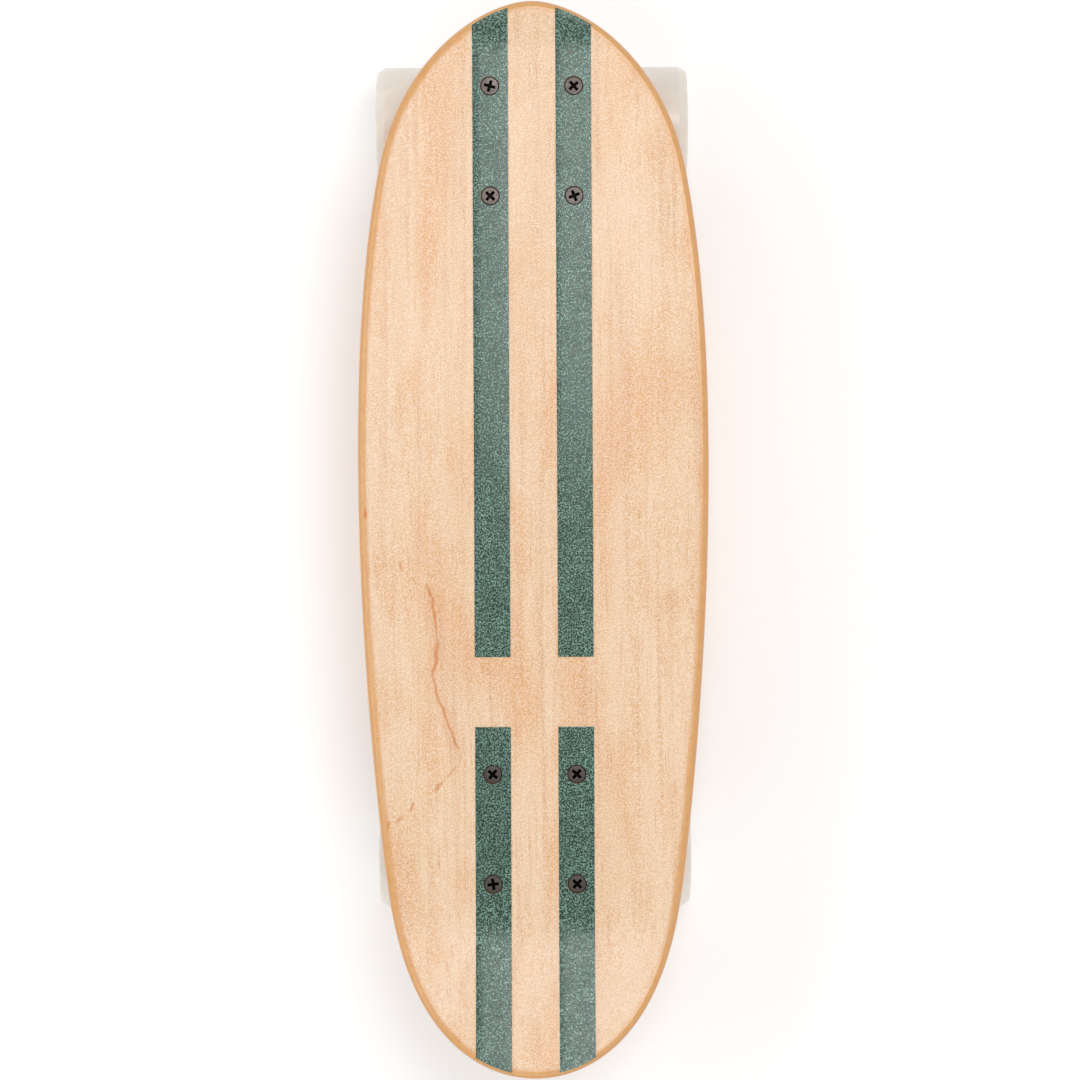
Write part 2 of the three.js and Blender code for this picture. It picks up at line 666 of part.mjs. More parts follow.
// The hanger: a beam round the axle, a ring round the kingpin, a rod that ends in the pivot
// cup, and a web that joins the three.
function makeHanger() {
  const halfBeam = HANGER_WIDTH / 2;
  const { end, shoulder, shoulderAt, middle, middleAt } = HANGER_BEAM;
  const beam = turned(
    [
      [0, -halfBeam],
      [end, -halfBeam],
      [shoulder, -shoulderAt],
      [middle, -middleAt],
      [middle, middleAt],
      [shoulder, shoulderAt],
      [end, halfBeam],
      [0, halfBeam],
    ],
    FACETS.boss,
  );
  const ringEnd = RING_AT + RING.thickness;
  const rod = NOSE_ROD;
  const noseRod = turned(
    [
      [0, rod.tip],
      [rod.radius - rod.chamfer, rod.tip],
      [rod.radius, rod.tip - rod.chamfer],
      [rod.radius, -rod.end],
      [0, -rod.end],
    ],
    FACETS.small,
  );
  const ringHole = bar(RING.hole, -ringEnd - CUT_MARGIN, -RING_AT + CUT_MARGIN, FACETS.boss);
  const axleHoleHalf = halfBeam + CUT_MARGIN;
  const axleHole = bar(AXLE_RADIUS + FACE_GAP, -axleHoleHalf, axleHoleHalf, FACETS.small);
  const webTop = PIVOT_BOSS.mouth + WEB_GAP;
  const webHalfAtRod = rod.radius - 0.5;
  const sideView = [
    byPivot(-webHalfAtRod, webTop + 1),
    byPivot(webHalfAtRod, webTop),
    byAxle(middle, 5),
    byAxle(middle, -52),
    byAxle(middle, -130),
    byKingpin(RING.outer - 2, ringEnd - 1),
    byKingpin(RING.outer - 1, RING_AT + 1),
    byKingpin(BUSHING.radius + WEB_GAP, BUSHING_TOP_AT + 4),
  ];
  return carved(
    [
      inFrame(beam, axleFrame),
      inFrame(bar(RING.outer, -ringEnd, -RING_AT, FACETS.ring), kingpinFrame),
      inFrame(noseRod, pivotFrame),
      web(sideView, HANGER_WEB_WIDTH),
    ],
    [
      inFrame(ringHole, kingpinFrame),
      inFrame(axleHole, axleFrame),
    ],
  );
}

// A wheel, turned about Z, with a dish and a bearing seat in each face.
function makeWheel() {
  const half = WHEEL_WIDTH / 2;
  const seatFrom = BEARING_SPACING / 2 - FACE_GAP;
  const seatTo = BEARING_SPACING / 2 + BEARING.width + BEARING_RECESS;
  const seat = BEARING_RADIUS + FACE_GAP;
  const lipCut = WHEEL_LIP * LIP_CUT_SHARE;
  const outside = [
    [seat, seatTo],
    [WHEEL_DISH_FLOOR, seatTo],
    [WHEEL_DISH_RADIUS, half],
    [WHEEL_RADIUS - WHEEL_LIP, half],
    [WHEEL_RADIUS - lipCut, half - lipCut],
    [WHEEL_RADIUS, half - WHEEL_LIP],
  ];
  const inside = [
    [BEARING_RADIUS - BEARING_SHOULDER, seatFrom],
    [seat, seatFrom],
  ];
  const upper = [...inside, ...outside];
  const lower = upper.map(([r, z]) => [r, -z]).reverse();
  return turned([...upper, ...lower], FACETS.wheel);
}

// ---------------------------------------------------------------- assembly

const skateboard = new THREE.Group();

function addMesh(parent, name, geometry, material, place = [0, 0, 0]) {
  const mesh = new THREE.Mesh(geometry, material);
  mesh.name = name;
  mesh.position.set(...place);
  parent.add(mesh);
  return mesh;
}

function addFrame(parent, matrix) {
  const frame = new THREE.Group();
  frame.applyMatrix4(matrix);
  parent.add(frame);
  return frame;
}

const sideName = (side) => (side < 0 ? "left" : "right");

// The pieces on the kingpin.
function addKingpinPieces(truck, end) {
  const stack = addFrame(truck, kingpinFrame);
  const bore = KINGPIN_RADIUS + FACE_GAP;
  const washer = tube(CUP_WASHER.radius, bore, -CUP_WASHER.thickness, 0, FACETS.small);
  const { radius, topHeight, bottomHeight, bottomRadius } = BUSHING;
  const topBushing = tube(radius, bore, -topHeight, 0, FACETS.pin);
  const bottomBushing = turned(
    [
      [bore, -bottomHeight],
      [bottomRadius, -bottomHeight],
      [radius, 0],
      [bore, 0],
    ],
    FACETS.pin,
  );
  const nut = hexNut(KINGPIN_NUT, bore);
  addMesh(stack, `kingpin_${end}`, makeKingpin(), STEEL);
  addMesh(stack, `cup_washer_upper_${end}`, washer, STEEL, [0, 0, -WASHER_TOP_AT]);
  addMesh(stack, `bushing_upper_${end}`, topBushing, BUSHING_URETHANE, [0, 0, -BUSHING_TOP_AT]);
  addMesh(stack, `bushing_lower_${end}`, bottomBushing, BUSHING_URETHANE, [0, 0, -BUSHING_BOTTOM_AT]);
  addMesh(stack, `cup_washer_lower_${end}`, washer.clone(), STEEL, [0, 0, -WASHER_BOTTOM_AT]);
  addMesh(stack, `kingpin_nut_${end}`, nut, STEEL, [0, 0, -KINGPIN_NUT_AT]);
}

// The axle with its nuts, wheels and bearings. The rear truck is turned round, so its own
// right side is the board's left.
function addAxlePieces(truck, end, turnedRound) {
  const axle = addFrame(truck, axleFrame);
  const rod = bar(AXLE_RADIUS, -AXLE_HALF, AXLE_HALF, FACETS.small);
  addMesh(axle, `axle_${end}`, rod, STEEL);
  const bearing = tube(BEARING_RADIUS, AXLE_RADIUS + FACE_GAP, 0, BEARING.width, FACETS.small);
  const nut = hexNut(AXLE_NUT, AXLE_RADIUS + FACE_GAP).rotateX(Math.PI);
  for (const side of [-1, 1]) {
    const hand = sideName(turnedRound ? -side : side);
    // Everything on one side is laid out along +Z, and turned over for the other side.
    const half = new THREE.Group();
    half.rotation.x = side < 0 ? Math.PI : 0;
    axle.add(half);
    addMesh(half, `wheel_${end}_${hand}`, makeWheel(), URETHANE, [0, 0, WHEEL_AT]);
    addMesh(half, `bearing_${end}_${hand}_inner`, bearing.clone(), STEEL, [0, 0, BEARING_INNER_AT]);
    addMesh(half, `bearing_${end}_${hand}_outer`, bearing.clone(), STEEL, [0, 0, BEARING_OUTER_AT]);
    addMesh(half, `axle_nut_${end}_${hand}`, nut.clone(), STEEL, [0, 0, AXLE_NUT_AT]);
  }
}

function addTruck(end, turnedRound) {
  const truck = new THREE.Group();
  truck.position.set(0, MOUNT_Y[end], PLATE_TOP);
  truck.rotation.z = turnedRound ? Math.PI : 0;
  skateboard.add(truck);
  addMesh(truck, `baseplate_${end}`, makeBaseplate(), CAST);
  addMesh(addFrame(truck, pivotFrame), `pivot_cup_${end}`, makePivotCup(), RUBBER);
  addMesh(truck, `hanger_${end}`, makeHanger(), CAST);
  addKingpinPieces(truck, end);
  addAxlePieces(truck, end, turnedRound);
}

// The riser pad and the four bolts and nuts of one truck.
function addMounting(end) {
  const mounting = new THREE.Group();
  mounting.position.y = MOUNT_Y[end];
  skateboard.add(mounting);
  const riserTop = RISER_BOTTOM + RISER.thickness;
  const nutTop = PLATE_TOP - PLATE.thickness - FACE_GAP;
  addMesh(mounting, `riser_${end}`, makeRiser(), RUBBER, [0, 0, riserTop]);
  for (const { sideX, sideY, x, y } of boltPlaces()) {
    const outward = sideY === Math.sign(MOUNT_Y[end]) ? "outer" : "inner";
    const place = `${end}_${outward}_${sideName(sideX)}`;
    const nut = hexNut(BOLT_NUT, BOLT_RADIUS + FACE_GAP);
    addMesh(mounting, `bolt_${place}`, makeBolt(), BLACK_STEEL, [x, y, DECK_TOP - BOLT_HEAD_SUNK]);
    addMesh(mounting, `bolt_nut_${place}`, nut, BLACK_STEEL, [x, y, nutTop]);
  }
}

addMesh(skateboard, "deck", makeDeck(), MAPLE);
for (const end of ["front", "rear"]) {
  for (const side of [-1, 1]) {
    addMesh(skateboard, `grip_${end}_${sideName(side)}`, makeGrip(side, end), GRIP);
  }
  addMounting(end);
  addTruck(end, end === "rear");
}

export default skateboard;
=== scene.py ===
import json
import math

import bmesh
import bpy
from bpy.props import FloatProperty, FloatVectorProperty, IntProperty, PointerProperty
from mathutils import Matrix, Vector, kdtree


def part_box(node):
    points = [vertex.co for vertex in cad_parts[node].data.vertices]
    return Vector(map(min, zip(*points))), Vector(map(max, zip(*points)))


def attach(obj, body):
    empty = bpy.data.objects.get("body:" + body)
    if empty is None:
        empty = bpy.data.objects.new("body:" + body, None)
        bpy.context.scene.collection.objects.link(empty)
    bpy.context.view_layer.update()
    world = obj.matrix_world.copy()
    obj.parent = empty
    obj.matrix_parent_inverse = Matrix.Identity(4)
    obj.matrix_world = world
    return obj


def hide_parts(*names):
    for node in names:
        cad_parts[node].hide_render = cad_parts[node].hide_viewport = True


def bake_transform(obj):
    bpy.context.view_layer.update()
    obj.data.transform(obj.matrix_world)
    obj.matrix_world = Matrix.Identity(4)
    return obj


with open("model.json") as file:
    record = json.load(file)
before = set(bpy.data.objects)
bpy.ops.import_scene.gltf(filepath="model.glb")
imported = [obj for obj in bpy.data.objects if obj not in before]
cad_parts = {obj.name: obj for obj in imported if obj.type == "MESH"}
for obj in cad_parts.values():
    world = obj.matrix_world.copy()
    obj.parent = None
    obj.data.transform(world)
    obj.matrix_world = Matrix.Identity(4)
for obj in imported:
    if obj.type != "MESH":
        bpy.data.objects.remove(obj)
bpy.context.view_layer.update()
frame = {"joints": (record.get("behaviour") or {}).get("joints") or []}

bl_info = {
    "name": "Wooden Cruiser Skateboard",
    "version": (1, 0, 0),
    "blender": (4, 5, 0),
    "location": "3D View > Sidebar > Skateboard",
    "description": "Builds the finished look of a small wooden cruiser skateboard round its frame",
    "category": "Add Mesh",
}

MM = 0.001
ENDS = ("front", "rear")
SIDES = {"left": -1, "right": 1}
FLOOR_REACH = 30.0  # half the floor's width, in metres, so that it runs to the horizon
CAMERA_ROLL = -0.26  # in degrees
CAST_GRAIN = 0.62 * MM  # the size of the small cells that a casting is rounded on
SQUARE = ((-1, -1), (1, -1), (1, 1), (-1, 1))
HEAD_CLEARANCE = 0.18 * MM  # room round a bolt's head in the deck and the strips
WELL_PAST = 0.01  # how far a cutter reaches past what it cuts, in metres


# ------------------------------------------------------------------ places from the frame

def middle(node):
    """The middle of a frame node's box."""
    low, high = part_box(node)
    return (Vector(low) + Vector(high)) / 2


def extent(node):
    """The size of a frame node's box."""
    low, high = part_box(node)
    return Vector(high) - Vector(low)


def joint(name):
    """A joint of the frame, by name."""
    return next(j for j in frame["joints"] if j["name"] == name)


HEAD_SUNK = 0.2 * MM
DECK_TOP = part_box("bolt_front_outer_left")[1][2] + HEAD_SUNK
DECK_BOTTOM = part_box("riser_front")[1][2] + 0.3 * MM
PLATE_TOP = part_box("baseplate_front")[1][2]
NOSE_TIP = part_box("deck")[1][1]
TAIL_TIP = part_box("deck")[0][1]
HALF_WIDTH = extent("deck").x / 2
MOUNT_Y = {end: middle(f"riser_{end}").y for end in ENDS}
BOLT_X = middle("bolt_front_outer_right").x
BOLT_Y = middle("bolt_front_outer_right").y - MOUNT_Y["front"]
STRIP_X = middle("grip_front_right").x
AXLE = Vector((0, middle("axle_front").y - MOUNT_Y["front"], middle("axle_front").z - PLATE_TOP))
BEARING_X = [middle(f"bearing_front_right_{place}").x for place in ("inner", "outer")]
AXLE_NUT_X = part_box("axle_nut_front_right")[0][0]
DECK_THICKNESS = DECK_TOP - DECK_BOTTOM

STEER = joint("steer_front")
PIVOT = Vector(STEER["pos_m"]) - Vector((0, MOUNT_Y["front"], PLATE_TOP))
PIVOT_ANGLE = math.atan2(-STEER["axis"][2], -STEER["axis"][1])
KINGPIN_LEAN = math.radians(20)
KINGPIN_Y = 7 * MM

# Distances down the kingpin from the top face of the plate, to the upper face of each piece.
BOSS_END = 18 * MM
WASHER_TOP = 18.3 * MM
BUSHING_TOP = 19.8 * MM
RING_TOP = 35.1 * MM
BUSHING_BOTTOM = 44.4 * MM
WASHER_BOTTOM = 54.7 * MM
KINGPIN_NUT = 56.2 * MM
KINGPIN_END = 66.2 * MM


def truck_frame(end):
    """The place of a truck: its origin is the middle of the plate's top face, +Y outboard."""
    turn = Matrix.Rotation(math.pi if end == "rear" else 0, 4, "Z")
    return Matrix.Translation((0, MOUNT_Y[end], PLATE_TOP)) @ turn


KINGPIN_FRAME = Matrix.Translation((0, KINGPIN_Y, 0)) @ Matrix.Rotation(-KINGPIN_LEAN, 4, "X")
PIVOT_FRAME = Matrix.Translation(PIVOT) @ Matrix.Rotation(PIVOT_ANGLE - math.pi / 2, 4, "X")
ALONG_X = Matrix.Rotation(math.pi / 2, 4, "Y")
AXLE_FRAME = Matrix.Translation(AXLE) @ ALONG_X


def by_kingpin(outboard, down):
    """A side-view place, as (y, z), out from and down along the kingpin."""
    place = KINGPIN_FRAME @ Vector((0, outboard, -down))
    return place.y, place.z


def by_pivot(outboard, down):
    """A side-view place, as (y, z), out from and down along the steering axis."""
    place = PIVOT_FRAME @ Vector((0, outboard, -down))
    return place.y, place.z


# ------------------------------------------------------------------ sizes and colours

def screen(red, green, blue):
    """A colour given as screen values from 0 to 255, as linear light."""
    def linear(value):
        share = value / 255
        return share / 12.92 if share <= 0.04045 else ((share + 0.055) / 1.055) ** 2.4
    return tuple(linear(value) for value in (red, green, blue))


def length_of(name, description, default):
    """A length property, in metres."""
    return FloatProperty(name=name, description=description, default=default, min=0, unit="LENGTH")


def colour_of(name, description, default):
    """A colour property."""
    return FloatVectorProperty(
        name=name, description=description, default=default, size=3, min=0, max=1, subtype="COLOR",
    )


class SkateboardDeck(bpy.types.PropertyGroup):
    """The wooden deck."""
    edge_rounding: length_of("Edge rounding", "Radius of the deck's rounded edges", 4 * MM)
    concave_rise: length_of("Concave rise", "How far the edges stand above the middle", 3 * MM)
    flat_half: length_of("Flat half width", "Half the width of the flat middle strip", 30 * MM)
    plies: IntProperty(name="Plies", description="Veneers in the deck", default=7, min=1)
    wood: colour_of("Maple", "Colour of the plain maple face", screen(226, 182, 139))
    wood_light: colour_of("Maple, light", "Colour of the light bands in the grain", screen(236, 200, 161))
    wood_golden: colour_of("Maple, golden", "Colour of the warm clouds in the face", screen(222, 158, 92))
    wood_dark: colour_of("Maple, dark", "Colour of the darker grain lines", screen(208, 142, 84))
    edge: colour_of("Sanded edge", "Colour of the lacquered rounded edge", screen(224, 170, 108))
    streak: colour_of("Mineral streak", "Colour of the brown streaks in the face", screen(208, 124, 50))


class SkateboardGrip(bpy.types.PropertyGroup):
    """The grip strips."""
    width: length_of("Width", "Width of a strip", extent("grip_front_right").x)
    thickness: length_of("Thickness", "Thickness of a strip", 0.45 * MM)
    nose_margin: length_of("Nose margin", "Bare wood past the strips at the nose", 2 * MM)
    tail_margin: length_of("Tail margin", "Bare wood past the strips at the tail", 2.2 * MM)
    colour: colour_of("Green", "Colour of the strips between the bumps", screen(6, 46, 33))
    # Painted highlight: the frosted green is the lighter colour painted on the strips' bumps, standing in
    # for the coat's glints.
    painted_bump_highlight: colour_of("Green, frosted", "Colour of the strips on the bumps", screen(126, 166, 149))


class SkateboardHardware(bpy.types.PropertyGroup):
    """The deck's bolts and nuts."""
    head_diameter: length_of("Head diameter", "Diameter of a bolt's flat head", 9.1 * MM)
    head_height: length_of("Head height", "Height of a bolt's flat head", 2.7 * MM)
    shank_diameter: length_of("Shank diameter", "Outer diameter of the thread", 4.8 * MM)
    pitch: length_of("Thread pitch", "Distance between two turns of the thread", 0.8 * MM)
    recess: length_of("Recess", "Length of the cross recess from tip to tip", 5.7 * MM)
    nut_flats: length_of("Nut width", "Width of a nut across its flats", 9.4 * MM)
    nut_height: length_of("Nut height", "Height of a nut with its collar", 5.6 * MM)
    oxide: colour_of("Black oxide", "Colour of the bolts and nuts", screen(86, 80, 77))


class SkateboardTruck(bpy.types.PropertyGroup):
    """The trucks."""
    plate_thickness: length_of("Plate thickness", "Thickness of the baseplate", 6 * MM)
    beam_end: length_of("Beam end radius", "Radius of the hanger's beam at its ends", 7 * MM)
    beam_middle: length_of("Beam middle radius", "Radius of the hanger's beam in the middle", 10 * MM)
    ring_outer: length_of("Ring radius", "Outer radius of the ring round the kingpin", 14 * MM)
    bushing_radius: length_of("Bushing radius", "Radius of the bushings", 11 * MM)
    alloy: colour_of("Cast alloy", "Colour of the castings", screen(200, 201, 202))
    urethane: colour_of("Bushing urethane", "Colour of the bushings", screen(226, 219, 203))


class SkateboardWheels(bpy.types.PropertyGroup):
    """The wheels and their bearings."""
    lip: length_of("Lip radius", "Radius of the rounded edges of the tread", 3 * MM)
    dish_radius: length_of("Dish radius", "Radius of the dish at the wheel's face", 19 * MM)
    balls: IntProperty(name="Balls", description="Balls in one bearing", default=7, min=3)
    ball_diameter: length_of("Ball diameter", "Diameter of a bearing's ball", 3.9 * MM)
    urethane: colour_of("Wheel urethane", "Colour of the wheels", screen(240, 232, 222))


class SkateboardStudio(bpy.types.PropertyGroup):
    """The floor, the lights and the camera."""
    camera_height: length_of("Camera height", "Height of the camera above the deck", 1.82)
    view_width: length_of("View width", "Width of the view at the deck's top face", 530.8 * MM)
    floor: colour_of("Floor", "Colour of the floor", screen(252, 252, 252))


class SkateboardSettings(bpy.types.PropertyGroup):
    """Every size and colour of the skateboard that can be changed."""
    deck: PointerProperty(type=SkateboardDeck)
    grip: PointerProperty(type=SkateboardGrip)
    hardware: PointerProperty(type=SkateboardHardware)
    truck: PointerProperty(type=SkateboardTruck)
    wheels: PointerProperty(type=SkateboardWheels)
    studio: PointerProperty(type=SkateboardStudio)


def settings():
    """The scene's skateboard settings."""
    return bpy.context.scene.skateboard


# ------------------------------------------------------------------ mesh helpers

def linked(name, data):
    """A new object in the scene that holds a mesh, a light or a camera."""
    made = bpy.data.objects.new(name, data)
    bpy.context.scene.collection.objects.link(made)
    return made


def object_from(name, bm, place=None, sharp_above=35):
    """A new object made from a bmesh, smooth except at edges sharper than the angle given."""
    bmesh.ops.remove_doubles(bm, verts=bm.verts, dist=1e-7)
    bmesh.ops.recalc_face_normals(bm, faces=bm.faces)
    mesh = bpy.data.meshes.new(name)
    bm.to_mesh(mesh)
    bm.free()
    if place is not None:
        mesh.transform(place)
    mesh.shade_smooth()
    mesh.set_sharp_from_angle(angle=math.radians(sharp_above))
    return linked(name, mesh)


def settle(piece, sharp_above=None):
    """Turns a piece's modifiers into plain mesh."""
    graph = bpy.context.evaluated_depsgraph_get()
    mesh = bpy.data.meshes.new_from_object(
        piece.evaluated_get(graph), preserve_all_data_layers=True, depsgraph=graph,
    )
    piece.modifiers.clear()
    old = piece.data
    piece.data = mesh
    bpy.data.meshes.remove(old)
    if sharp_above is not None:
        mesh.shade_smooth()
        mesh.set_sharp_from_angle(angle=math.radians(sharp_above))
    return piece


def discard(*pieces):
    """Removes helper objects and their meshes."""
    for piece in pieces:
        mesh = piece.data
        bpy.data.objects.remove(piece)
        bpy.data.meshes.remove(mesh)


def joined(name, parts):
    """One object that holds the meshes of several, which are removed."""
    bm = bmesh.new()
    for part in parts:
        bm.from_mesh(part.data)
    mesh = bpy.data.meshes.new(name)
    bm.to_mesh(mesh)
    bm.free()
    discard(*parts)
    return linked(name, mesh)


def combine(piece, others, operation, sharp_above=35):
    """Joins other solids to a piece, cuts them away or keeps what is common, and removes them."""
    for other in others:
        modifier = piece.modifiers.new("combine", "BOOLEAN")
        modifier.operation = operation
        modifier.solver = "EXACT"
        modifier.object = other
    settle(piece, sharp_above)
    discard(*others)
    return piece


def cast(name, solids, cuts, smoothing):
    """A sand-cast body: solids joined, holes cut, and every edge and inside corner rounded."""
    body = solids[0]
    combine(body, solids[1:], "UNION")
    combine(body, cuts, "DIFFERENCE")
    body.name = name
    remesh = body.modifiers.new("skin", "REMESH")
    remesh.mode = "VOXEL"
    remesh.voxel_size = CAST_GRAIN
    remesh.use_smooth_shade = True
    smooth = body.modifiers.new("round", "SMOOTH")
    smooth.factor = 0.5
    smooth.iterations = smoothing
    return settle(body, 50)


def rounded(corners, steps=5):
    """A path through (radius, height, fillet) corners, with each corner's fillet drawn as an arc."""
    closed = corners[0][0] > 0
    path = []
    for i, (r, z, fillet) in enumerate(corners):
        here = Vector((r, z))
        if not fillet or (not closed and i in (0, len(corners) - 1)):
            path.append(here)
            continue
        before = Vector(corners[i - 1][:2]) - here
        after = Vector(corners[(i + 1) % len(corners)][:2]) - here
        half = before.angle(after) / 2
        reach = fillet / math.tan(half)
        start = here + before.normalized() * reach
        end = here + after.normalized() * reach
        inwards = (before.normalized() + after.normalized()).normalized()
        centre = here + inwards * fillet / math.sin(half)
        for step in range(steps + 1):
            share = step / steps
            spoke = (start - centre).lerp(end - centre, share)
            path.append(centre + spoke.normalized() * fillet)
    return path


def turned(name, corners, segments=64, place=None, steps=5, sharp_above=35):
    """A solid turned round Z from a profile of (radius, height, fillet) corners."""
    path = rounded(corners, steps)
    bm = bmesh.new()
    rings = []
    for r, z in path:
        if r < 1e-6:
            rings.append([bm.verts.new((0, 0, z))] * segments)
            continue
        angles = [2 * math.pi * i / segments for i in range(segments)]
        rings.append([bm.verts.new((r * math.cos(a), r * math.sin(a), z)) for a in angles])
    following = rings[1:] + ([rings[0]] if corners[0][0] > 0 else [])
    for lower, upper in zip(rings, following):
        for i in range(segments):
            j = (i + 1) % segments
            face = list(dict.fromkeys((lower[i], lower[j], upper[j], upper[i])))
            if len(face) > 2:
                bm.faces.new(face)
    return object_from(name, bm, place, sharp_above)


def bar(radius, low, high, segments=48, place=None):
    """A plain round bar along Z."""
    return turned("bar", [(0, low, 0), (radius, low, 0), (radius, high, 0), (0, high, 0)], segments, place)


def tube(name, outer, inner, low, high, fillet):
    """A round tube along Z with rounded edges."""
    ring = ((inner, low), (outer, low), (outer, high), (inner, high))
    return turned(name, [(*corner, fillet) for corner in ring], steps=3)


def prism(name, outline, low, high, bevel=0.0, place=None):
    """A flat-faced solid between two heights over an outline of (x, y) points."""
    bm = bmesh.new()
    base = bm.faces.new([bm.verts.new((x, y, low)) for x, y in outline])
    grown = bmesh.ops.extrude_face_region(bm, geom=[base])["geom"]
    for vert in (item for item in grown if isinstance(item, bmesh.types.BMVert)):
        vert.co.z = high
    if bevel:
        sharp = [e for e in bm.edges if e.calc_face_angle(0) > math.radians(40)]
        bmesh.ops.bevel(bm, geom=sharp, offset=bevel, segments=3, profile=0.5, affect="EDGES")
    return object_from(name, bm, place)


def web(outline, width, middle_x=0.0):
    """A flat web across X, whose side view is a list of (y, z) corners."""
    turn = Matrix(((0, 0, 1, middle_x - width / 2), (1, 0, 0, 0), (0, 1, 0, 0), (0, 0, 0, 1)))
    return prism("web", outline, 0, width, 0, turn)


def rounded_rectangle(width, length, corner, steps=8):
    """The outline of a rounded rectangle, as (x, y) points."""
    points = []
    for quarter, (side_x, side_y) in enumerate(((1, 1), (-1, 1), (-1, -1), (1, -1))):
        for step in range(steps + 1):
            angle = (quarter + step / steps) * math.pi / 2
            x = side_x * (width / 2 - corner) + corner * math.cos(angle)
            points.append((x, side_y * (length / 2 - corner) + corner * math.sin(angle)))
    return points


def skin(bm, loops):
    """Faces between each closed loop of points and the next."""
    for a, b in zip(loops, loops[1:]):
        for j in range(len(a)):
            k = (j + 1) % len(a)
            bm.faces.new((a[j], b[j], b[k], a[k]))


def copied(template, name, place, slot):
    """A copy of a template in its place, in its slot's finish."""
    mesh = template.data.copy()
    mesh.transform(place)
    mesh.materials.clear()
    mesh.materials.append(finish_of(slot))
    return linked(name, mesh)


def placed(template, name, place, body, slot, *nodes):
    """A copy of a template in its place, riding on a body and standing for its frame nodes."""
    return ready(copied(template, name, place, slot), body, slot, *nodes)


def ready(piece, body, slot, *nodes):
    """Tells the frame what a finished piece rides on, and hides the frame nodes it stands for; the slot is
    not used.
    """
    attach(piece, body)
    if nodes:
        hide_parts(*nodes)
    return piece


# ------------------------------------------------------------------ geometry nodes

def add_node(tree, kind, inputs, options):
    """Adds a node to a tree, sets its options, and joins or sets its inputs."""
    node = tree.nodes.new(kind)
    for option, value in options.items():
        setattr(node, option, value)
    for label, value in inputs.items():
        socket = node.inputs[label]
        if isinstance(value, bpy.types.NodeSocket):
            tree.links.new(value, socket)
        else:
            socket.default_value = value
    return node.outputs


class Tree:
    """A geometry node tree with named inputs, and short ways to add and join its nodes."""

    def __init__(self, name, **inputs):
        self.group = bpy.data.node_groups.new(name, "GeometryNodeTree")
        face = self.group.interface
        face.new_socket("Geometry", in_out="INPUT", socket_type="NodeSocketGeometry")
        self.sockets = {
            label: face.new_socket(label, in_out="INPUT", socket_type=f"NodeSocket{kind}")
            for label, kind in inputs.items()
        }
        face.new_socket("Geometry", in_out="OUTPUT", socket_type="NodeSocketGeometry")
        self.given = self.group.nodes.new("NodeGroupInput").outputs

    def add(self, kind, inputs, **options):
        return add_node(self.group, kind, inputs, options)

    def end(self, shape):
        """Closes the tree: real geometry, then its material."""
        real = self.add("GeometryNodeRealizeInstances", {"Geometry": shape})["Geometry"]
        painted = self.add(
            "GeometryNodeSetMaterial", {"Geometry": real, "Material": self.given["Material"]},
        )["Geometry"]
        self.group.links.new(painted, self.group.nodes.new("NodeGroupOutput").inputs[0])
        return self

    def apply(self, piece, **values):
        """Runs the tree on an object and keeps its result as plain mesh."""
        modifier = piece.modifiers.new(self.group.name, "NODES")
        modifier.node_group = self.group
        for label, value in values.items():
            modifier[self.sockets[label].identifier] = value
        return settle(piece)


def repeat_tree():
    """Copies a piece to every point, each turned by the point's own angle."""
    tree = Tree("Repeat a piece", Piece="Object", Material="Material")
    points = tree.add("GeometryNodeMeshToPoints", {"Mesh": tree.given["Geometry"]})["Points"]
    piece = tree.add("GeometryNodeObjectInfo", {"Object": tree.given["Piece"]})["Geometry"]
    turn = tree.add("GeometryNodeInputNamedAttribute", {"Name": "turn"}, data_type="FLOAT")["Attribute"]
    angles = tree.add("ShaderNodeCombineXYZ", {"Z": turn})["Vector"]
    rotation = tree.add("FunctionNodeEulerToRotation", {"Euler": angles})["Rotation"]
    copies = tree.add(
        "GeometryNodeInstanceOnPoints",
        {"Points": points, "Instance": piece, "Rotation": rotation},
    )["Instances"]
    return tree.end(copies)


def thread_tree():
    """A screw thread: a sharp ridge that winds up Z at a constant pitch."""
    tree = Tree(
        "Screw thread", Radius="Float", Pitch="Float", Length="Float", Depth="Float", Material="Material",
    )
    length, radius = tree.given["Length"], tree.given["Radius"]
    turns = tree.add("ShaderNodeMath", {0: length, 1: tree.given["Pitch"]}, operation="DIVIDE")
    path = tree.add("GeometryNodeCurveSpiral", {
        "Resolution": 28,
        "Rotations": turns["Value"],
        "Start Radius": radius,
        "End Radius": radius,
        "Height": length,
    })["Curve"]
    ridge = tree.add(
        "GeometryNodeCurvePrimitiveCircle", {"Resolution": 4, "Radius": tree.given["Depth"]},
    )
    wound = tree.add(
        "GeometryNodeCurveToMesh",
        {"Curve": path, "Profile Curve": ridge["Curve"], "Fill Caps": True},
    )["Mesh"]
    return tree.end(wound)


def ring_tree():
    """Balls spaced evenly round a circle in the XY plane."""
    tree = Tree(
        "Ring of balls", Count="Int", Radius="Float", Diameter="Float", Material="Material",
    )
    circle = tree.add(
        "GeometryNodeMeshCircle", {"Vertices": tree.given["Count"], "Radius": tree.given["Radius"]},
    )["Mesh"]
    half = tree.add("ShaderNodeMath", {0: tree.given["Diameter"], 1: 2.0}, operation="DIVIDE")["Value"]
    ball = tree.add("GeometryNodeMeshIcoSphere", {"Radius": half, "Subdivisions": 3})["Mesh"]
    copies = tree.add("GeometryNodeInstanceOnPoints", {"Points": circle, "Instance": ball})["Instances"]
    return tree.end(copies)


def repeated(name, template, places, material):
    """Copies of a template at (point, angle) places, made by geometry nodes as one piece."""
    mesh = bpy.data.meshes.new(name)
    mesh.from_pydata([tuple(point) for point, _ in places], [], [])
    mesh.attributes.new("turn", "FLOAT", "POINT").data.foreach_set("value", [a for _, a in places])
    return repeat_tree().apply(linked(name, mesh), Piece=template, Material=material)


